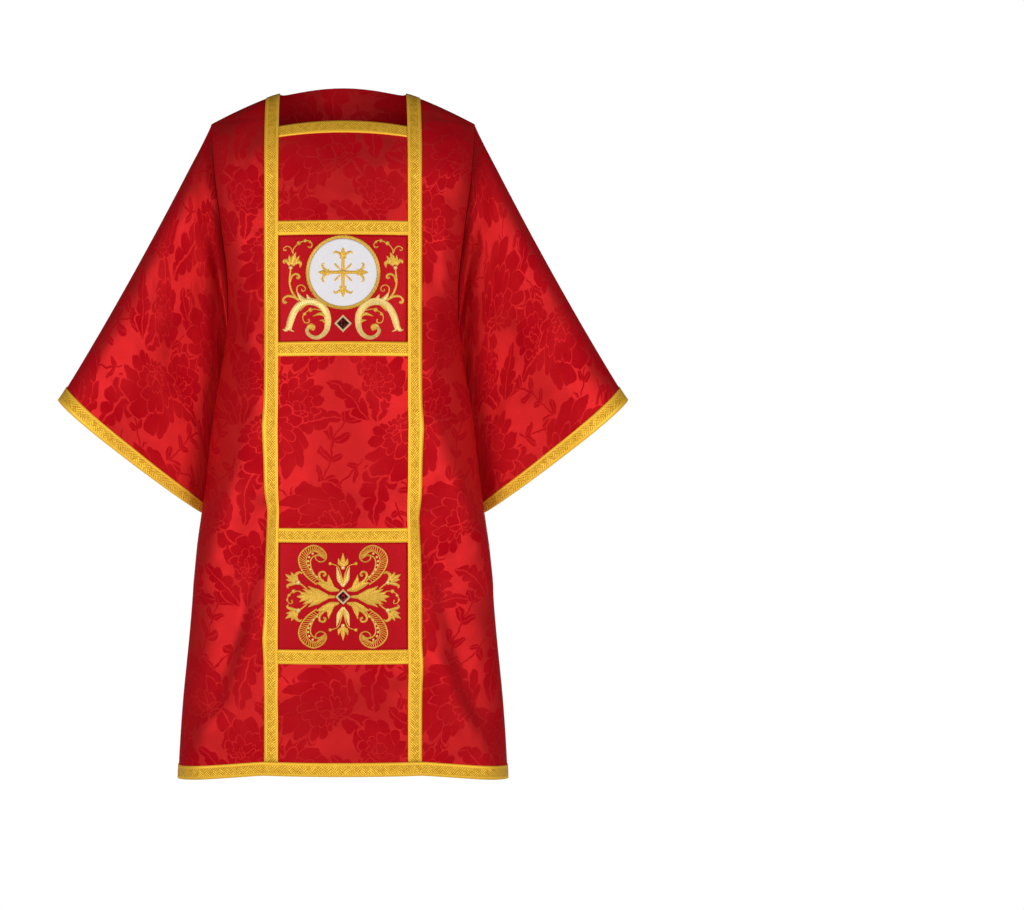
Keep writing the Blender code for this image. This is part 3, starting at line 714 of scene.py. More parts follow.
def place_figure(tree, vector, spot):
    """A figure's group, fed with its own place in the repeat."""
    move = tree.nodes.new("ShaderNodeVectorMath")
    move.operation = "SUBTRACT"
    move.inputs[1].default_value = (spot.x, spot.y, 0.0)
    tree.links.new(vector, move.inputs[0])
    wrap = tree.nodes.new("ShaderNodeVectorMath")
    wrap.operation = "WRAP"
    reach = 0.42 * spot.size
    lean = (reach * math.cos(math.radians(spot.angle)), reach * math.sin(math.radians(spot.angle)))
    wrap.inputs[1].default_value = (REPEAT[0] / 2 + lean[0], REPEAT[1] / 2 + lean[1], 1.0)
    wrap.inputs[2].default_value = (lean[0] - REPEAT[0] / 2, lean[1] - REPEAT[1] / 2, -1.0)
    tree.links.new(move.outputs[0], wrap.inputs[0])
    turn = tree.nodes.new("ShaderNodeMapping")
    turn.vector_type = "TEXTURE"
    turn.inputs["Rotation"].default_value = (0.0, 0.0, math.radians(spot.angle))
    turn.inputs["Scale"].default_value = (spot.size,) * 3
    tree.links.new(wrap.outputs[0], turn.inputs["Vector"])
    node = tree.nodes.new("ShaderNodeGroup")
    node.node_tree = spot.group
    tree.links.new(turn.outputs[0], node.inputs["Place"])
    for slot, value in zip(list(node.inputs)[1:], (spot.first, spot.second, spot.third)):
        slot.default_value = value
    return Value(tree, node.outputs["Figure"]), Value(tree, node.outputs["Clear"])


def make_damask_figure():
    """The whole figure over UVs in metres, hand-drawn in look through a slight warp."""
    tree, source, sink = new_group("damask_figure", (("UV", VECTOR),), (("Figure", FLOAT),))
    wide = add_noise(tree, source["UV"], 14.0)
    fine = add_noise(tree, source["UV"], 90.0, 1.0)
    vector = source["UV"]
    for noise, amount in ((wide, 0.036), (fine, 0.0065)):
        centred = tree.nodes.new("ShaderNodeVectorMath")
        centred.operation = "SUBTRACT"
        centred.inputs[1].default_value = (0.5, 0.5, 0.5)
        tree.links.new(noise.outputs["Color"], centred.inputs[0])
        add = tree.nodes.new("ShaderNodeVectorMath")
        add.operation = "MULTIPLY_ADD"
        add.inputs[1].default_value = (amount, amount, 0.0)
        tree.links.new(centred.outputs[0], add.inputs[0])
        tree.links.new(vector, add.inputs[2])
        vector = add.outputs[0]
    total = None
    for spot in FIGURES:
        figure, clear = place_figure(tree, vector, spot)
        if total is None:
            total = figure
        else:
            total = total.math("MULTIPLY_ADD", total, 1.0 - clear, figure)
    tree.links.new(total.clip().socket, sink["Figure"])
    return tree


DAMASK_FIGURE = make_damask_figure()
print(len(FIGURES), "figures,", len(DAMASK_FIGURE.nodes), "nodes in the repeat")

# %% [markdown]
# ## Threads and grain
#
# Woven cloth, stitching and metal all share three small effects: an uneven grain, fine threads that
# cross, and slanting stitches. Each could be built again in every material. A node group is built
# once and placed where it is wanted, with its size as an input, so a change to it reaches every
# material that has it.

# %% Groups that the materials share
def new_material(name, roughness, metallic=0.0, **settings):
    """A material, its tree, its main shader and its UVs."""
    material = bpy.data.materials.new(name)
    material.use_nodes = True
    tree = material.node_tree
    shader = tree.nodes["Principled BSDF"]
    shader.inputs["Roughness"].default_value = roughness
    shader.inputs["Metallic"].default_value = metallic
    for label, value in settings.items():
        shader.inputs[label.replace("_", " ")].default_value = value
    uv = tree.nodes.new("ShaderNodeUVMap")
    return material, tree, shader, uv.outputs[0]


def mix_colours(tree, factor, low, high):
    """A colour between two. Each may be a colour or a socket."""
    node = tree.nodes.new("ShaderNodeMix")
    node.data_type = "RGBA"
    tree.links.new(factor.socket, node.inputs["Factor"])
    for slot, value in ((node.inputs[6], low), (node.inputs[7], high)):
        if isinstance(value, tuple):
            slot.default_value = (*value, 1.0)
        else:
            tree.links.new(value, slot)
    return node.outputs[2]


def add_bump(tree, shader, height, distance, strength=1.0):
    node = tree.nodes.new("ShaderNodeBump")
    node.inputs["Distance"].default_value = distance
    node.inputs["Strength"].default_value = strength
    tree.links.new(height.socket, node.inputs["Height"])
    tree.links.new(node.outputs[0], shader.inputs["Normal"])


def attribute(tree, name):
    """A value kept on the mesh's own points."""
    node = tree.nodes.new("ShaderNodeAttribute")
    node.attribute_name = name
    return node.outputs["Fac"]


def make_grain():
    """Unevenness of any size: cloudy dye, worn places, single threads, and where painted glints and
    sparkle fall.
    """
    tree, source, sink = new_group("grain", (("Place", VECTOR), ("Scale", FLOAT)), (("Amount", FLOAT),))
    noise = add_noise(tree, source["Place"], 1.0)
    tree.links.new(source["Scale"], noise.inputs["Scale"])
    tree.links.new(noise.outputs["Fac"], sink["Amount"])
    return tree


def make_weave():
    """Fine threads across and along, as a height from 0 to 1."""
    tree, source, sink = new_group("weave", (("Place", VECTOR), ("Period", FLOAT)), (("Height", FLOAT),))
    x, y = separate(tree, source["Place"])
    period = Value(tree, source["Period"])
    warp = (x * (2.0 * math.pi) / period).sin()
    weft = (y * (2.0 * math.pi) / period).sin()
    tree.links.new(((warp * weft + 1.0) * 0.5).socket, sink["Height"])
    return tree


def make_stitches():
    """Slanting stitches of metal thread that meet in the middle, with broken painted glints and painted
    shade between them.
    """
    tree, source, sink = new_group(
        "stitches", (("Place", VECTOR), ("Period", FLOAT)), (("Glint", FLOAT), ("Height", FLOAT)))
    x, y = separate(tree, source["Place"])
    grain = use_group(tree, GRAIN, Place=source["Place"], Scale=620.0)["Amount"]
    turns = (x.abs() + y) * (2.0 * math.pi) / Value(tree, source["Period"])
    slant = (turns + grain * 3.0).sin() * 0.5 + 0.5
    # Painted highlight and shade: Glint is high on the stitch crests and low in the hollows, broken by
    # grain.
    glint = (slant * 0.6 + (grain - 0.5) * 2.2 + 0.2).clip()
    tree.links.new(glint.socket, sink["Glint"])
    tree.links.new((slant * 0.7 + grain * 0.6).socket, sink["Height"])
    return tree


def use_group(tree, group, **settings):
    """Places a group in a tree, feeds its inputs and gives its outputs by name."""
    node = tree.nodes.new("ShaderNodeGroup")
    node.node_tree = group
    for label, value in settings.items():
        if isinstance(value, float):
            node.inputs[label].default_value = value
        else:
            tree.links.new(value, node.inputs[label])
    return {output.name: Value(tree, output) for output in node.outputs}


GRAIN = make_grain()
WEAVE = make_weave()
STITCHING = make_stitches()
print("groups:", ", ".join(group.name for group in bpy.data.node_groups))

# %% [markdown]
# ## Damask, satin and galloon
#
# Damask has one colour of thread and two weaves. Its ground is satin, whose long loose threads throw
# the light back in their own red, bright where they face a light and dark where they don't. Its
# figure is a plainer weave that stays much the same from every side. That is why the figure looks
# darker than the ground in the middle of the garment and lighter at the shoulders.
#
# Two plain reds would never change over. So both take the same base, and the figure lowers the
# metallic part, which stands for the sheen of the threads. A value on the sleeves' points paints shade
# into the colour of the deep fold under the arm, where two layers of cloth shade each other.

# %% Materials of the cloth and the threads

SATIN_METALLIC = 0.62
SATIN_ROUGHNESS = 0.52


def make_damask():
    """Satin ground with a plainer figure."""
    material, tree, shader, uv = new_material("damask", 0.5, Specular_IOR_Level=0.06,
                                              Specular_Tint=(1.0, 0.18, 0.18, 1.0))
    cloud = use_group(tree, GRAIN, Place=uv, Scale=30.0)["Amount"]
    speckle = use_group(tree, GRAIN, Place=uv, Scale=420.0)["Amount"]
    faint = use_group(tree, GRAIN, Place=uv, Scale=11.0)["Amount"].above(0.52, 0.5)
    figure = use_group(tree, DAMASK_FIGURE, UV=uv)["Figure"] * (1.0 - faint * 0.45)
    colour = mix_colours(tree, figure, (0.540, 0.0130, 0.0150), (0.370, 0.0004, 0.0050))
    worn = mix_colours(tree, figure, (0.640, 0.0220, 0.0240), (0.460, 0.0020, 0.0090))
    tone = (cloud * 0.6 + speckle * 0.4).clip()
    painted_crease_shade = Value(tree, attribute(tree, "painted_crease_shade"))
    # Painted shade: the colour goes to near-black red in the fold beside the body.
    shaded = mix_colours(tree, painted_crease_shade, mix_colours(tree, tone, colour, worn), (0.050, 0.0, 0.0))
    tree.links.new(shaded, shader.inputs["Base Color"])
    tree.links.new((SATIN_METALLIC - figure * 0.50).socket, shader.inputs["Metallic"])
    tree.links.new((SATIN_ROUGHNESS + figure * 0.08).socket, shader.inputs["Roughness"])
    ripple = use_group(tree, GRAIN, Place=uv, Scale=9.0)["Amount"]
    threads = use_group(tree, WEAVE, Place=uv, Period=0.0009)["Height"]
    height = threads * 0.00006 + cloud * 0.0006 + ripple * 0.008
    add_bump(tree, shader, height, 1.0, 1.0)
    return material


def make_satin(name, colour, thread, roughness, metallic):
    """Plain close satin, with fine rows of thread."""
    material, tree, shader, uv = new_material(name, roughness, metallic, Specular_IOR_Level=0.1)
    cloud = use_group(tree, GRAIN, Place=uv, Scale=160.0)["Amount"]
    threads = use_group(tree, WEAVE, Place=uv, Period=0.0008)["Height"]
    tree.links.new(mix_colours(tree, cloud, colour, thread), shader.inputs["Base Color"])
    add_bump(tree, shader, threads + cloud, 0.00010, 0.5)
    return material


BRAID_PERIOD = 0.0132
BRAID_HALF = 0.62
STITCHES = 3.0


def make_galloon():
    """Gold braid: plain ribbed edges, and in the middle two rows of slanting stitches that meet, with
    painted glints and painted shade.
    """
    material, tree, shader, uv = new_material("galloon", 0.45, 0.30, Specular_IOR_Level=0.12)
    x, y = separate(tree, uv)
    across = (x / GALLOON_WIDTH - 0.5) * 2.0
    middle = across.abs().below(BRAID_HALF, 0.06)
    along = y / BRAID_PERIOD
    row = (across + (along * (2.0 * math.pi)).sin() * 0.42).above(0.0, 0.25)
    slant = STITCHES * GALLOON_WIDTH / (2.0 * BRAID_PERIOD)
    one = ((along * STITCHES + across * slant) * (2.0 * math.pi)).sin()
    two = ((along * STITCHES - across * slant) * (2.0 * math.pi)).sin()
    stitch = one * row + two * (1.0 - row)
    grain = use_group(tree, GRAIN, Place=uv, Scale=420.0)["Amount"]
    patch = use_group(tree, GRAIN, Place=uv, Scale=110.0)["Amount"]
    # Painted shade in the hollows between the stitches.
    dark = stitch.below(-0.25, 0.6) * middle * patch.above(0.36, 0.4)
    # Painted highlight on the stitch crests, which are also made a little less rough.
    glint = stitch.above(0.35, 0.6) * middle * patch.below(0.56, 0.2)
    ribs = (y * (2.0 * math.pi / 0.0022)).sin() * 0.5 + 0.5
    edge = (1.0 - middle) * (ribs * 0.25 + grain * 0.45 + 0.30)
    light = (middle * (0.30 + glint * 0.80 + grain * 0.20) + edge).clip()
    colour = mix_colours(tree, light, (0.800, 0.350, 0.010), (1.000, 0.620, 0.060))
    tree.links.new(
        mix_colours(tree, (dark * 0.72).clip(), colour, (0.300, 0.110, 0.004)),
        shader.inputs["Base Color"])
    tree.links.new((0.50 - glint * 0.14).socket, shader.inputs["Roughness"])
    add_bump(tree, shader, middle * (stitch * 0.5 + 0.6) + edge * 0.7, 0.0006, 0.8)
    return material


def make_thread(name, dark, light, metallic, roughness, period):
    """Stitched metal thread: slanting stitches, painted lighter on their crests and darker between."""
    material, tree, shader, uv = new_material(name, roughness, metallic, Specular_IOR_Level=0.15)
    stitch = use_group(tree, STITCHING, Place=uv, Period=period)
    # Painted highlight and shade: each stitch runs from the shaded colour to the lit colour by its Glint.
    tree.links.new(mix_colours(tree, stitch["Glint"], dark, light), shader.inputs["Base Color"])
    add_bump(tree, shader, stitch["Height"], 0.0004, 0.8)
    return material


DAMASK = make_damask()
SATIN = make_satin("satin", (0.400, 0.0008, 0.0060), (0.500, 0.0025, 0.0090), 0.50, 0.25)
WHITE_SATIN = make_satin("white_satin", (0.680, 0.655, 0.680), (0.820, 0.795, 0.815), 0.50, 0.0)
GALLOON_GOLD = make_galloon()
# Shaded and lit copies of one gold, for the threads' painted shade and painted highlight.
SHADED_GOLD = (0.520, 0.215, 0.008)
LIT_GOLD = (0.960, 0.640, 0.110)
GOLD_THREAD = make_thread("gold_thread", SHADED_GOLD, LIT_GOLD, 0.35, 0.38, 0.0030)
PALE_THREAD = make_thread("pale_thread", (0.620, 0.330, 0.035), (1.000, 0.840, 0.370), 0.35, 0.38, 0.0034)
RIM_CORD = make_thread("rim_cord", (0.600, 0.270, 0.012), LIT_GOLD, 0.35, 0.36, 0.0030)
print("made", len(bpy.data.materials), "materials")

# %% [markdown]
# ## Front, back and sleeves
#
# The main cloth: two panels from neck to hem, and two tubes seamed below. The front's neck is cut out
# of its grid, which leaves a clean edge under the galloon. The sleeves also keep a value on each of
# their points, strongest in the deep fold beside the body, and the damask paints shade there from it.
# This painted shade stands in for what lights alone would only cast on a far denser sleeve.

# %% Body and sleeves
ROW_PARTS = 6
COLUMN_PARTS = 6
SLEEVE_PARTS = 84
# How dark the painted shade in the underarm fold is, and how far from the body it reaches.
CREASE_SHADE = 0.85
CREASE_REACH = 0.075


def make_body(side, name):
    """A fine body panel. The front's neck notch is cut out of its grid."""
    across = 2 * MIDDLE * COLUMN_PARTS
    down = LAST_ROW * ROW_PARTS

    def place(u, v):
        return on_panel(side, v * LAST_ROW, u * 2 * MIDDLE, 0.0)

    mesh = bmesh.new()
    shift = (0.02, 0.03) if side == FRONT else (0.09, 0.12)
    add_grid(mesh, across, down, place, (0.5, YOKE_ROWS / LAST_ROW), shift)
    if side == FRONT:
        cut = []
        for face in mesh.faces:
            middle = face.calc_center_median()
            in_neck = abs(middle.x) < NECK and middle.z > YOKE
            corner_rows = [row_of(vert.co) for vert in face.verts] if in_neck else [NECK_ROW]
            if min(corner_rows) < NECK_ROW:
                cut.append(face)
        bmesh.ops.delete(mesh, geom=cut, context="FACES")
    print(name, len(mesh.faces), "faces")
    strips = [f"{side_name(side)}_{strip}" for strip in ("centre", "left", "right")]
    return finish_piece(name, mesh, DAMASK, strips, CLOTH)


def row_of(point):
    """NECK_ROW or more where a point of the front lies below the neck edge."""
    edge = YOKE * yoke_share(NECK_ROW) + FRONT_NECK_RISE * neck_bow(point.x)
    return NECK_ROW + (edge - point.z) * 100.0 + 0.001


def side_name(side):
    return "front" if side == FRONT else "back"


def make_sleeve(sign, name):
    """A fine tube, seamed below."""
    def place(u, v):
        return on_sleeve(sign, v, UNDERARM_ROW * (1.0 + 2.0 * u), 0.0)

    mesh = bmesh.new()
    layer = mesh.verts.layers.float.new("painted_crease_shade")
    shift = (0.05 * sign, 0.11)
    around = 2 * UNDERARM_ROW * ROW_PARTS
    verts = add_grid(mesh, around, SLEEVE_PARTS, place, (0.5, 0.0), shift)
    for number, vert in enumerate(verts):
        share = 1.0 - (number // (around + 1)) / SLEEVE_PARTS
        turn = UNDERARM_ROW * (1.0 + 2.0 * (number % (around + 1)) / around)
        depth = (1.0 - math.cos(math.pi * turn / UNDERARM_ROW)) / 2.0
        # Painted shade: strongest where the sleeve meets the body and towards its underside.
        vert[layer] = CREASE_SHADE * depth**0.7 * math.exp(-((share / CREASE_REACH) ** 2))
    return finish_piece(name, mesh, DAMASK, (name.replace("cloth_", ""),), CLOTH, 1e-5)


make_body(FRONT, "cloth_front")
make_body(BACK, "cloth_back")
make_sleeve(1, "cloth_sleeve_left")
make_sleeve(-1, "cloth_sleeve_right")

# %% [markdown]
# ## Galloons
#
# A galloon is a gold ribbon about 24 mm wide, sewn flat over the joins and edges. Each is a grid of its
# own that lies on the cloth, with UVs along its length so that the braid runs the right way on every
# bar. The bars that border the embroidered panels have fine picots on that edge. These are real little
# loops, because they break up the outline that the eye follows.

# %% Galloons
GALLOON_TOP = GAP + GALLOON
PICOT = 0.0011
PICOT_STEP = 0.0032
PARTS_ACROSS = 6
PARTS_PER_ROW = 7
BAND_STOP = 0.012


def picots(x):
    """Height of the picots along an edge."""
    return PICOT * (1.0 - 2.0 * np.abs(np.mod(x / PICOT_STEP, 1.0) - 0.5))


def make_strip(name, across, along, place, thickness=GALLOON, weld=0.0):
    mesh = bmesh.new()
    add_grid(mesh, across, along, place)
    return finish_piece(f"gold_{name}", mesh, GALLOON_GOLD, (name,), thickness, weld)


def make_vertical_band(sign, name):
    def place(u, v):
        column = MIDDLE + sign * (CENTRE_HALF + u)
        low = HEM_ROW - BAND_STOP
        front, front_out = on_panel(FRONT, low * np.maximum(1.0 - 2.0 * v, 0.0), column, GALLOON_TOP)
        back, back_out = on_panel(BACK, low * np.maximum(2.0 * v - 1.0, 0.0), column, GALLOON_TOP)
        choose = (v <= 0.5)[..., None]
        return np.where(choose, front, back), np.where(choose, front_out, back_out)
    make_strip(name, PARTS_ACROSS, 2 * HEM_ROW * PARTS_PER_ROW, place)


def make_crossbar(side, number, top):
    upper_picots = number in (2, 4)
    lower_picots = number in (1, 3)

    def place(u, v):
        x = (2.0 * v - 1.0) * (NECK - GAP)
        z = top - GALLOON_WIDTH * u
        z = z + upper_picots * picots(x) * np.clip(1.0 - u * 8.0, 0.0, 1.0)
        z = z - lower_picots * picots(x) * np.clip(u * 8.0 - 7.0, 0.0, 1.0)
        return on_cloth(side, x, z, GALLOON_TOP)
    make_strip(f"bar_{side_name(side)}_{number}", 8, 280, place)


def make_neck_bar():
    def place(u, v):
        column = MIDDLE + (2.0 * v - 1.0) * (CENTRE_HALF - 0.01)
        return on_panel(FRONT, NECK_ROW + u * (NECK_BAR_ROW - NECK_ROW), column, GALLOON_TOP)
    make_strip("neck_bar", PARTS_ACROSS, 56, place)


def make_hem(side):
    def place(u, v):
        return on_panel(side, HEM_ROW + u, v * 2 * MIDDLE, GALLOON_TOP)
    make_strip(f"hem_{side_name(side)}", PARTS_ACROSS, 2 * MIDDLE * (PARTS_PER_ROW + 1), place)


def make_cuff(sign, name):
    ends = sleeve_point(sign, np.array([0.0, 1.0])[:, None], np.arange(0.0, 2.0 * UNDERARM_ROW)[None])
    length = float(np.linalg.norm(ends[1] - ends[0], axis=-1).mean())

    def place(u, v):
        share = 1.0 - (1.0 - u) * GALLOON_WIDTH / length
        return on_sleeve(sign, share, UNDERARM_ROW * (1.0 + 2.0 * v), GALLOON_TOP)
    make_strip(name, PARTS_ACROSS, 2 * UNDERARM_ROW * (PARTS_PER_ROW + 1), place, GALLOON, 1e-5)
    return length


make_vertical_band(1, "band_left")
make_vertical_band(-1, "band_right")
make_neck_bar()
for side, bars in ((FRONT, FRONT_BARS), (BACK, BACK_BARS)):
    for number, top in enumerate(bars, start=1):
        make_crossbar(side, number, top)
    make_hem(side)
for sign, name in ((1, "cuff_left"), (-1, "cuff_right")):
    print(name, "sleeve length along the arm, mean:", round(make_cuff(sign, name), 3))

# %% [markdown]
# ## Embroidery
#
# The scrolls are gold thread laid over padding, so they stand a millimetre or two off the satin and
# catch the light along their crests. A flat picture of them would look printed. Each stitched shape is
# a soft ridge along a path, given in millimetres from the medallion's middle (upper panel) or the
# stone's (lower panel), with its own width at each point. Only one half or one quarter is written
# down. The rest is mirrored, as an embroiderer does with one pricked pattern.

# %% Embroidery
Ridge = namedtuple("Ridge", "thread path widths rise")
Bead = namedtuple("Bead", "thread x h radius")

UPPER_RIDGES = (
    Ridge("pale", ((-94, -97), (-90, -82), (-84, -67), (-75, -56), (-62, -50), (-48, -51), (-36, -58),
                   (-28, -71), (-26, -86), (-29, -100), (-37, -109), (-47, -112), (-57, -108),
                   (-62, -100), (-59, -93)),
          (10, 12, 12, 12, 12, 12, 12, 12, 11, 9, 7.5, 6.5, 6, 6, 5), 1.5),
    Ridge("gold", ((-60, -93), (-55, -91), (-51, -94), (-53, -99)), (6, 8, 8, 5), 1.7),
    Ridge("pale", ((-95, -94), (-99, -98), (-104, -97)), (8, 6, 1), 1.2),
    Ridge("pale", ((-93, -93), (-90, -98), (-84, -101)), (7, 4, 1), 1.2),
    Ridge("pale", ((-94, -92), (-96, -100)), (8, 2), 1.2),
    Ridge("pale", ((-64, -50), (-73, -43), (-79, -32)), (8, 8, 1), 1.4),
    Ridge("pale", ((-53, -49), (-60, -42), (-62, -37)), (5, 5, 1), 1.2),
    Ridge("gold", ((-27, -78), (-38, -71), (-52, -75)), (4, 6, 1), 1.4),
    Ridge("gold", ((-28, -88), (-33, -83), (-40, -82)), (4, 5, 1), 1.3),
    Ridge("gold", ((-62, -53), (-68, -58), (-74, -66)), (5, 4, 1), 1.2),
    Ridge("gold", ((-79, -33), (-79, -25), (-73, -21), (-66, -24), (-65, -30), (-70, -32), (-71, -28)),
          (2.4, 2.2, 2.0, 2.0, 2.0, 2.0, 1.8), 0.9),
    Ridge("gold", ((-75, -47), (-86, -41), (-97, -40), (-103, -46), (-101, -51), (-97, -49)),
          (4, 4.5, 4, 3.6, 4.4, 5), 1.1),
    Ridge("gold", ((-80, -44), (-88, -32), (-92, -17), (-91, -2), (-90, 7)),
          (3.8, 3.6, 3.2, 3.0, 2.6), 1.1),
    Ridge("gold", ((-91, -16), (-88, -6), (-82, -2), (-76, -4), (-76, -9), (-80, -8)),
          (3.0, 3.4, 3.6, 4.0, 4.4, 4.0), 1.1),
    Ridge("gold", ((-91, 13), (-97, 21), (-102, 20), (-101, 16)), (5, 7, 5, 2), 1.4),
    Ridge("gold", ((-87, 13), (-79, 19), (-73, 16), (-74, 9)), (5, 8, 6, 2), 1.4),
    Ridge("gold", ((-90, 14), (-92, 23), (-92, 31)), (5, 6, 1), 1.3),
    Ridge("gold", ((-88, 14), (-85, 26), (-81, 35)), (6, 9, 1), 1.5),
    Ridge("gold", ((-85, 14), (-79, 23), (-75, 29)), (5, 6, 1), 1.3),
    Ridge("gold", ((-86, 33), (-85, 41), (-77, 50), (-65, 55), (-57, 54), (-53, 48), (-56, 43),
                   (-60, 45)), (2.0, 2.0, 2.0, 2.0, 2.0, 2.0, 2.4, 2.4), 0.9),
    Ridge("gold", ((-86, 33), (-90, 43), (-96, 46), (-102, 43), (-101, 39), (-97, 40)),
          (2.0, 2.0, 2.0, 2.0, 2.2, 2.4), 0.9),
    Ridge("gold", ((-38, -65), (-48, -63), (-57, -64), (-67, -71), (-69, -79), (-65, -86), (-58, -85),
                   (-59, -80)), (1.8, 1.8, 1.8, 1.8, 1.8, 2.0, 2.4, 2.4), 0.9),
)
UPPER_BEADS = (
    Bead("pale", -90, 9, 3.6), Bead("gold", -76, 51, 3.8), Bead("gold", -65, 55, 3.2),
    Bead("gold", -57, 53, 2.4), Bead("gold", -56, -64, 3.8), Bead("gold", -66, -71, 3.0),
    Bead("gold", -54, -95, 4.0),
)

LOWER_RIDGES = (
    Ridge("gold", ((-27, 2), (-44, 8), (-60, 18)), (5, 11, 1), 1.4),
    Ridge("gold", ((-38, 2), (-55, 7), (-69, 13)), (5, 10, 1), 1.4),
    Ridge("gold", ((-52, 2), (-66, 4), (-75, 9)), (5, 8, 1), 1.4),
    Ridge("gold", ((-7, 11), (-20, 14), (-33, 21), (-46, 24)), (3, 11, 12, 1), 1.3),
    Ridge("gold", ((-17, 14), (-23, 25), (-25, 38)), (6, 9, 1), 1.3),
    Ridge("pale", ((-12, 12), (-24, 17), (-36, 24)), (1.6, 2.0, 1.4), 1.8),
    Ridge("gold", ((-32, 24), (-40, 33), (-40, 41), (-33, 43), (-30, 38), (-34, 36)),
          (4, 4, 3.6, 3.6, 3.6, 4), 1.1),
    Ridge("gold", ((-45, 21), (-62, 34), (-73, 50), (-76, 66), (-68, 80), (-52, 88), (-37, 83),
                   (-29, 72), (-31, 63), (-39, 60), (-46, 64), (-47, 70), (-40, 72)),
          (2.4, 2.6, 2.6, 2.6, 2.6, 2.6, 2.6, 2.6, 2.4, 2.2, 2.2, 2.4, 4.0), 1.3),
    Ridge("gold", ((-39, 26), (-51, 41), (-56, 56), (-54, 66), (-46, 72)),
          (2.2, 2.4, 2.4, 2.4, 2.2), 1.2),
    Ridge("gold", ((-44, 31), (-57, 46), (-63, 60), (-60, 72), (-50, 78), (-42, 75)),
          (1.4, 1.4, 1.4, 1.4, 1.4, 1.4), 0.9),
    Ridge("pale", ((0, 18), (-7, 30), (-9, 42), (-11, 51)), (4, 7, 5, 1), 1.4),
    Ridge("gold", ((0, 18), (-3, 31), (-4, 42)), (5, 5, 1), 1.2),
    Ridge("gold", ((-3, 38), (-9, 52), (-21, 57)), (1.8, 1.8, 1.8), 0.9),
    Ridge("gold", ((-1, 53), (-6, 58), (-8, 66)), (4, 7, 1), 1.3),
    Ridge("gold", ((-62, 13), (-69, 19), (-75, 23)), (2.4, 2.6, 2.8), 1.0),
    Ridge("gold", ((-78, 27), (-81, 37), (-74, 42), (-70, 39)), (4, 6, 4, 1.6), 1.3),
    Ridge("gold", ((-80, 23), (-90, 21), (-96, 18), (-94, 14)), (4, 6, 4, 1.6), 1.3),
    Ridge("gold", ((-81, 27), (-91, 33), (-99, 38)), (5, 8, 1), 1.4),
    Ridge("gold", ((-80, 29), (-86, 36), (-89, 42)), (4, 6, 1), 1.3),
    Ridge("gold", ((-82, 25), (-91, 28), (-98, 29)), (4, 6, 1), 1.3),
)
LOWER_BEADS = (
    Bead("pale", -45, 34, 2.2), Bead("pale", -51, 40, 2.2), Bead("pale", -56, 47, 2.2),
    Bead("pale", -59, 54, 2.2), Bead("pale", -60, 61, 2.2), Bead("pale", -58, 68, 2.2),
    Bead("pale", -52, 74, 2.2), Bead("gold", -22, 57, 3.0), Bead("pale", -77, 24, 4.0),
)
# Slanting stitches between two paths, which fill the scrolls of the lower panel
Hatch = namedtuple("Hatch", "thread outer inner count lean width rise")
LOWER_HATCHES = (
    Hatch("gold", ((-47, 23), (-62, 34), (-73, 50), (-76, 66), (-68, 80), (-52, 88), (-37, 83),
                   (-29, 72), (-31, 64)),
          ((-44, 31), (-52, 39), (-59, 50), (-63, 61), (-60, 72), (-52, 78), (-45, 77),
           (-41, 73), (-40, 70)), 30, 0.9, 1.5, 1.0),
)
# The side leaves and their beaded tendrils are mirrored across, and the middle tips upside down
SIDE_RIDGES = (
    Ridge("gold", ((-14, 0), (-40, 0), (-62, 0), (-79, 0)), (4, 10, 14, 2), 1.3),
    Ridge("gold", ((-73, 9), (-85, 9), (-93, 2), (-96, -6), (-92, -12), (-87, -11), (-88, -6)),
          (1.8, 1.8, 1.8, 1.8, 1.8, 2.0, 2.2), 0.9),
)
SIDE_BEADS = (
    Bead("gold", -85, 9, 3.6), Bead("gold", -93, 2, 2.8), Bead("gold", -96, -6, 2.2),
)
MIDDLE_RIDGES = (
    Ridge("gold", ((0, 52), (0, 63), (0, 75)), (4, 8, 1), 1.4),
)
MIDDLE_BEADS = (
    Bead("pale", 0, 50, 3.6),
)

CROSS_RIDGES = (
    Ridge("gold", ((0, 2), (0, 14), (0, 27)), (9, 7.5, 7.5), 1.6),
    Ridge("gold", ((0, 24), (0, 34), (0, 45)), (5, 11, 1), 1.5),
    Ridge("gold", ((-1, 26), (-7, 33), (-14, 35), (-17, 29)), (5, 6.5, 5, 2), 1.3),
    Ridge("gold", ((1, 26), (7, 33), (14, 35), (17, 29)), (5, 6.5, 5, 2), 1.3),
    Ridge("gold", ((-6, 25), (0, 25.5), (6, 25)), (4, 5, 4), 2.0),
    Ridge("gold", ((5, 5), (12, 12), (19, 19)), (4, 5, 1), 1.2),
)
CROSS_BOSS = Bead("gold", 0, 0, 6.5)


def smooth_path(points, count):
    """A curve through the points, and the matching shares for their widths."""
    points = np.array(points, float)
    ends = (2 * points[0] - points[1], *points, 2 * points[-1] - points[-2])
    padded = np.array(ends)
    t = np.linspace(0.0, len(points) - 1.0, count)
    first = np.minimum(t.astype(int), len(points) - 2)
    f = (t - first)[:, None]
    a, b, c, d = (padded[first + n] for n in range(4))
    curve = 0.5 * (2 * b + (c - a) * f + (2 * a - 5 * b + 4 * c - d) * f**2
                   + (3 * b - a - 3 * c + d) * f**3)
    return curve, t


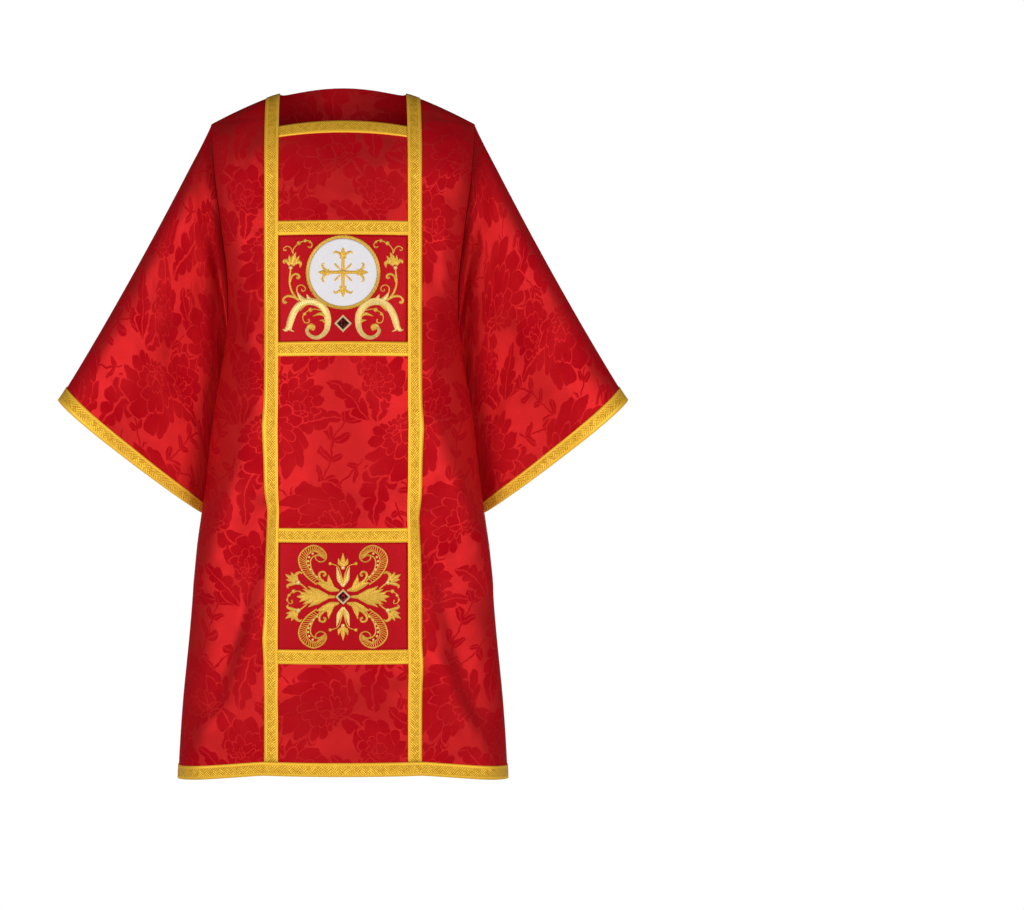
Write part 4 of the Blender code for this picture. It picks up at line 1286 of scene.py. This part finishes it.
def add_ridge(mesh, side, middle, ridge, flip=(1, 1), turn=0):
    """A stitched ridge, mirrored by flip and turned by quarter turns."""
    path = np.array(ridge.path, float) * flip
    for _ in range(turn):
        path = np.stack((-path[:, 1], path[:, 0]), axis=-1)
    length = np.linalg.norm(np.diff(path, axis=0), axis=-1).sum()
    count = max(int(length / 2.4), 8)
    curve, t = smooth_path(path, count + 1)
    ways = np.gradient(curve, axis=0)
    ways /= np.linalg.norm(ways, axis=-1, keepdims=True)
    widths = np.interp(t, range(len(ridge.widths)), ridge.widths)

    def place(u, v):
        row = np.rint(v * count).astype(int)
        off = (2.0 * u - 1.0) * widths[row] / 2.0
        x = (curve[row, 0] - ways[row, 1] * off) / 1000.0
        h = (curve[row, 1] + ways[row, 0] * off) / 1000.0
        round_top = np.sqrt(np.maximum(1.0 - (2.0 * u - 1.0) ** 2, 0.0))
        rise = np.minimum(ridge.rise, widths[row] * 0.55) / 1000.0 * round_top
        return on_cloth(side, x, middle + h, ON_GROUND - 0.0004 + rise)

    add_grid(mesh, 6, count, place)


def add_bead(mesh, side, middle, bead, flip=(1, 1)):
    """A flattened round of stitches."""
    def place(u, v):
        turn = 2.0 * math.pi * u
        radius = bead.radius * np.sin(v * math.pi / 2.0) / 1000.0
        x = bead.x * flip[0] / 1000.0 + radius * np.cos(turn)
        h = bead.h * flip[1] / 1000.0 + radius * np.sin(turn)
        rise = bead.radius * 0.6 * np.cos(v * math.pi / 2.0) / 1000.0
        return on_cloth(side, x, middle + h, ON_GROUND - 0.0004 + rise)

    add_grid(mesh, 10, 4, place)


def hatch_ridges(hatch):
    """The stitches of a hatch, each from a spot on its inner path to one further along the outer."""
    outer, _ = smooth_path(hatch.outer, 201)
    inner, _ = smooth_path(hatch.inner, 201)
    stitches = []
    for n in range(hatch.count):
        first = round(200.0 * n / hatch.count)
        last = min(round(200.0 * (n + hatch.lean) / hatch.count), 200)
        path = (tuple(inner[first]), tuple((inner[first] + outer[last]) / 2.0), tuple(outer[last]))
        stitches.append(Ridge(hatch.thread, path, (hatch.width,) * 3, hatch.rise))
    return stitches


def make_embroidery(side, name, middle, layers):
    """All stitched shapes of one panel, one object for each thread."""
    for thread, material in (("gold", GOLD_THREAD), ("pale", PALE_THREAD)):
        mesh = bmesh.new()
        for ridges, beads, flips in layers:
            for flip in flips:
                for ridge in ridges:
                    if ridge.thread == thread:
                        add_ridge(mesh, side, middle, ridge, flip)
                for bead in beads:
                    if bead.thread == thread:
                        add_bead(mesh, side, middle, bead, flip)
        finish_piece(f"{name}_{thread}", mesh, material)


def make_ground(side, place_name, top, low):
    def place(u, v):
        x = (2.0 * u - 1.0) * (NECK - GAP)
        z = top - GAP + (low - top + 2.0 * GAP) * v
        return on_cloth(side, x, z, GAP + GROUND)
    mesh = bmesh.new()
    add_grid(mesh, 40, 40, place)
    name = f"panel_{side_name(side)}_{place_name}"
    return finish_piece(f"ground_{name}", mesh, SATIN, (name,), GROUND)


MIRROR = ((1, 1), (-1, 1))
UPSIDE_DOWN = ((1, 1), (1, -1))
QUARTERS = ((1, 1), (-1, 1), (1, -1), (-1, -1))
hatched = [stitch for hatch in LOWER_HATCHES for stitch in hatch_ridges(hatch)]
for side, bars in ((FRONT, FRONT_BARS), (BACK, BACK_BARS)):
    label = side_name(side)
    upper_top = bars[0] - GALLOON_WIDTH
    lower_top = bars[2] - GALLOON_WIDTH
    make_ground(side, "upper", upper_top, bars[1])
    make_ground(side, "lower", lower_top, bars[3])
    make_embroidery(side, f"stitch_{label}_upper", upper_top - MEDALLION_DROP,
                    [(UPPER_RIDGES, UPPER_BEADS, MIRROR)])
    make_embroidery(side, f"stitch_{label}_lower", lower_top - LOWER_STONE_DROP,
                    [((*LOWER_RIDGES, *hatched), LOWER_BEADS, QUARTERS),
                     (SIDE_RIDGES, SIDE_BEADS, MIRROR),
                     (MIDDLE_RIDGES, MIDDLE_BEADS, UPSIDE_DOWN)])

# %% [markdown]
# ## Medallions
#
# White satin, a cross with flared ends, and a twisted cord round the edge. The satin is a disc of its
# own, since it is cut out and applied. Its cross is laid in the same ridges as the scrolls, one arm
# turned four times.

# %% Medallions
def make_medallion(side, middle):
    label = side_name(side)

    def disc(u, v):
        radius = MEDALLION_RADIUS * v
        x = radius * np.cos(2.0 * math.pi * u)
        return on_cloth(side, x, middle + radius * np.sin(2.0 * math.pi * u), ON_GROUND + MEDALLION)

    def rim(u, v):
        round_about = 2.0 * math.pi * v
        twist = 1.0 + 0.10 * np.sin(2.0 * math.pi * 64.0 * u + round_about)
        radius = MEDALLION_RADIUS + GAP + CORD_WIDTH / 2.0 * (1.0 + twist * np.cos(round_about) * 0.98)
        lift = ON_GROUND + CORD / 2.0 * (1.0 + twist * np.sin(round_about))
        x = radius * np.cos(2.0 * math.pi * u)
        return on_cloth(side, x, middle + radius * np.sin(2.0 * math.pi * u), lift)

    mesh = bmesh.new()
    add_grid(mesh, 96, 20, disc)
    finish_piece(f"medallion_{label}", mesh, WHITE_SATIN, (f"roundel_{label}",),
                 MEDALLION, 1e-6)
    mesh = bmesh.new()
    add_grid(mesh, 384, 10, rim)
    bmesh.ops.remove_doubles(mesh, verts=mesh.verts, dist=1e-6)
    bmesh.ops.recalc_face_normals(mesh, faces=mesh.faces)
    finish_piece(f"cord_{label}", mesh, RIM_CORD, (f"rim_{label}",))
    mesh = bmesh.new()
    for turn in range(4):
        for ridge in CROSS_RIDGES:
            raised = ridge._replace(rise=ridge.rise + MEDALLION * 1000.0)
            add_ridge(mesh, side, middle, raised, (1, 1), turn)
    add_bead(mesh, side, middle, CROSS_BOSS)
    finish_piece(f"cross_{label}", mesh, GOLD_THREAD)


for side, bars in ((FRONT, FRONT_BARS), (BACK, BACK_BARS)):
    make_medallion(side, bars[0] - GALLOON_WIDTH - MEDALLION_DROP)

# %% [markdown]
# ## Stones
#
# Four dark stones in gilt settings mark the middles of the scrolls. The CAD settings are exact
# already, so they keep their shape and only get a gilt finish. A stone lives from its facets, and the
# CAD one has few. So each is cut again in steps, square with clipped corners and flat on top.

# %% Settings and stones
def make_gilt():
    material, tree, shader, uv = new_material("gilt", 0.30, 0.55)
    place = tree.nodes.new("ShaderNodeTexCoord").outputs["Object"]
    wear = use_group(tree, GRAIN, Place=place, Scale=900.0)["Amount"]
    tree.links.new(
        mix_colours(tree, wear, (0.860, 0.620, 0.250), (1.000, 0.860, 0.520)),
        shader.inputs["Base Color"])
    add_bump(tree, shader, wear, 0.00015, 0.4)
    return material


def make_garnet():
    material, tree, shader, uv = new_material("garnet", 0.05, Specular_IOR_Level=0.4)
    place = tree.nodes.new("ShaderNodeTexCoord").outputs["Object"]
    depth = use_group(tree, GRAIN, Place=place, Scale=260.0)["Amount"]
    # Painted reflection: random red flashes in the black stone's colour stand for light sparkling inside
    # it.
    painted_sparkle = depth.above(0.60, 0.12)
    tree.links.new(
        mix_colours(tree, painted_sparkle, (0.003, 0.000, 0.0005), (0.420, 0.006, 0.014)),
        shader.inputs["Base Color"])
    return material


GILT = make_gilt()
GARNET = make_garnet()
SETTING_EDGE = 0.0050
STONE_HEIGHT = 0.0036
STONE_PROFILE = ((1.00, 0.00), (1.00, 0.22), (0.86, 0.52), (0.62, 0.86), (0.50, 1.00))
CLIPPED = 0.76


def shape_step(corners, girdle, share, height):
    """Moves a ring of eight corners to one step of the stone, every second one drawn in."""
    for corner in corners:
        eighth = round(math.atan2(corner.co.y, corner.co.x) / (math.pi / 4.0))
        radius = girdle * share * (1.0 if eighth % 2 == 0 else CLIPPED + 0.04 * share)
        angle = math.pi / 4.0 * eighth
        corner.co = (radius * math.cos(angle), radius * math.sin(angle), height * STONE_HEIGHT)


def make_stone(side, place_name, z):
    """A four-sided stone with clipped corners, extruded step by step to its flat top."""
    seat, out = on_cloth(side, 0.0, z, ON_GROUND)
    out = Vector(out)
    right = Vector((-side, 0.0, 0.0))
    turn = Matrix((right, out.cross(right).normalized(), out)).transposed().to_4x4()
    turn.translation = Vector(seat)
    girdle = SETTING_RADIUS[place_name] - SETTING_EDGE - 2.0 * GAP
    mesh = bmesh.new()
    bmesh.ops.create_circle(mesh, cap_ends=True, segments=8, radius=1.0)
    shape_step(mesh.verts, girdle, *STONE_PROFILE[0])
    bottom = top = mesh.faces[:][0]
    for share, height in STONE_PROFILE[1:]:
        grown = bmesh.ops.extrude_face_region(mesh, geom=[top])["geom"]
        if top != bottom:
            bmesh.ops.delete(mesh, geom=[top], context="FACES_ONLY")
        top = next(item for item in grown if isinstance(item, bmesh.types.BMFace))
        shape_step(top.verts, girdle, share, height)
    bmesh.ops.transform(mesh, matrix=turn, verts=mesh.verts)
    bmesh.ops.recalc_face_normals(mesh, faces=mesh.faces)
    name = f"stone_{side_name(side)}_{place_name}"
    piece = finish_piece(f"cut_{name}", mesh, GARNET, (name,))
    piece.data.shade_flat()
    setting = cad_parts[f"setting_{side_name(side)}_{place_name}"]
    holder = setting if hasattr(setting, "data") else bpy.data.objects[setting]
    holder.material_slots[0].material = GILT
    return piece


for side, bars in ((FRONT, FRONT_BARS), (BACK, BACK_BARS)):
    make_stone(side, "upper", bars[0] - GALLOON_WIDTH - UPPER_STONE_DROP)
    make_stone(side, "lower", bars[2] - GALLOON_WIDTH - LOWER_STONE_DROP)

# %% [markdown]


# %% [markdown]
# ## Floor, light and camera
#
# The vestment is shown from straight in front, a little below its middle. A pale floor and a white
# world leave only the cloth to look at. Two soft lights in front stand lower than the shoulders, and
# the world is dim overhead, so the satin goes dark above the galloon and glows in the middle. Lights
# overhead would do the opposite.

# %% Floor, lights and camera
def make_floor():
    mesh = bmesh.new()
    bmesh.ops.create_circle(mesh, cap_ends=True, segments=96, radius=1.7)
    data = bpy.data.meshes.new("floor")
    mesh.to_mesh(data)
    mesh.free()
    material = bpy.data.materials.new("floor")
    material.use_nodes = True
    shader = material.node_tree.nodes["Principled BSDF"]
    shader.inputs["Base Color"].default_value = (0.86, 0.86, 0.86, 1.0)
    shader.inputs["Roughness"].default_value = 0.9
    data.materials.append(material)
    floor = bpy.data.objects.new("floor", data)
    floor.location.z = -2.05
    bpy.context.collection.objects.link(floor)


def make_light(name, place, target, size, power, colour=(1.0, 1.0, 1.0)):
    data = bpy.data.lights.new(name, "AREA")
    data.shape = "DISK"
    data.size = size
    data.energy = power
    data.color = colour
    light = bpy.data.objects.new(name, data)
    light.location = place
    light.rotation_euler = (Vector(target) - Vector(place)).to_track_quat("-Z", "Y").to_euler()
    light.visible_camera = False
    bpy.context.collection.objects.link(light)


make_floor()
for hand, x in (("left", -1.60), ("right", 1.60)):
    make_light(f"softbox_front_{hand}", (x, -2.2, -0.45), (0.0, 0.0, -0.60), 1.2, 36.0)
    make_light(f"softbox_back_{hand}", (x * 0.4, 2.8, -0.40), (0.0, 0.0, -0.55), 1.1, 24.0)

world = bpy.data.worlds.new("studio")
world.use_nodes = True
ambient = world.node_tree.nodes["Background"]
ambient.inputs["Color"].default_value = (1.0, 1.0, 1.0, 1.0)
light_path = world.node_tree.nodes.new("ShaderNodeLightPath")
direction = world.node_tree.nodes.new("ShaderNodeTexCoord").outputs["Generated"]
split = world.node_tree.nodes.new("ShaderNodeSeparateXYZ")
world.node_tree.links.new(direction, split.inputs[0])
seen = Value(world.node_tree, light_path.outputs["Is Camera Ray"])
overhead = Value(world.node_tree, split.outputs[2]).above(0.15, 0.7)
unseen = (1.0 - seen) * (0.36 - overhead * 0.29)
world.node_tree.links.new((seen * 1.02 + unseen).socket, ambient.inputs["Strength"])
bpy.context.scene.world = world
bpy.context.scene.view_settings.view_transform = "Standard"

camera_data = bpy.data.cameras.new("camera")
camera_data.lens = 65.0
camera_data.sensor_width = 36.0
camera_data.shift_x = 0.165
camera = bpy.data.objects.new("camera", camera_data)
camera.location = (0.0, -3.3, -0.643)
camera.rotation_euler = (math.pi / 2.0, 0.0, 0.0)
bpy.context.collection.objects.link(camera)
bpy.context.scene.camera = camera
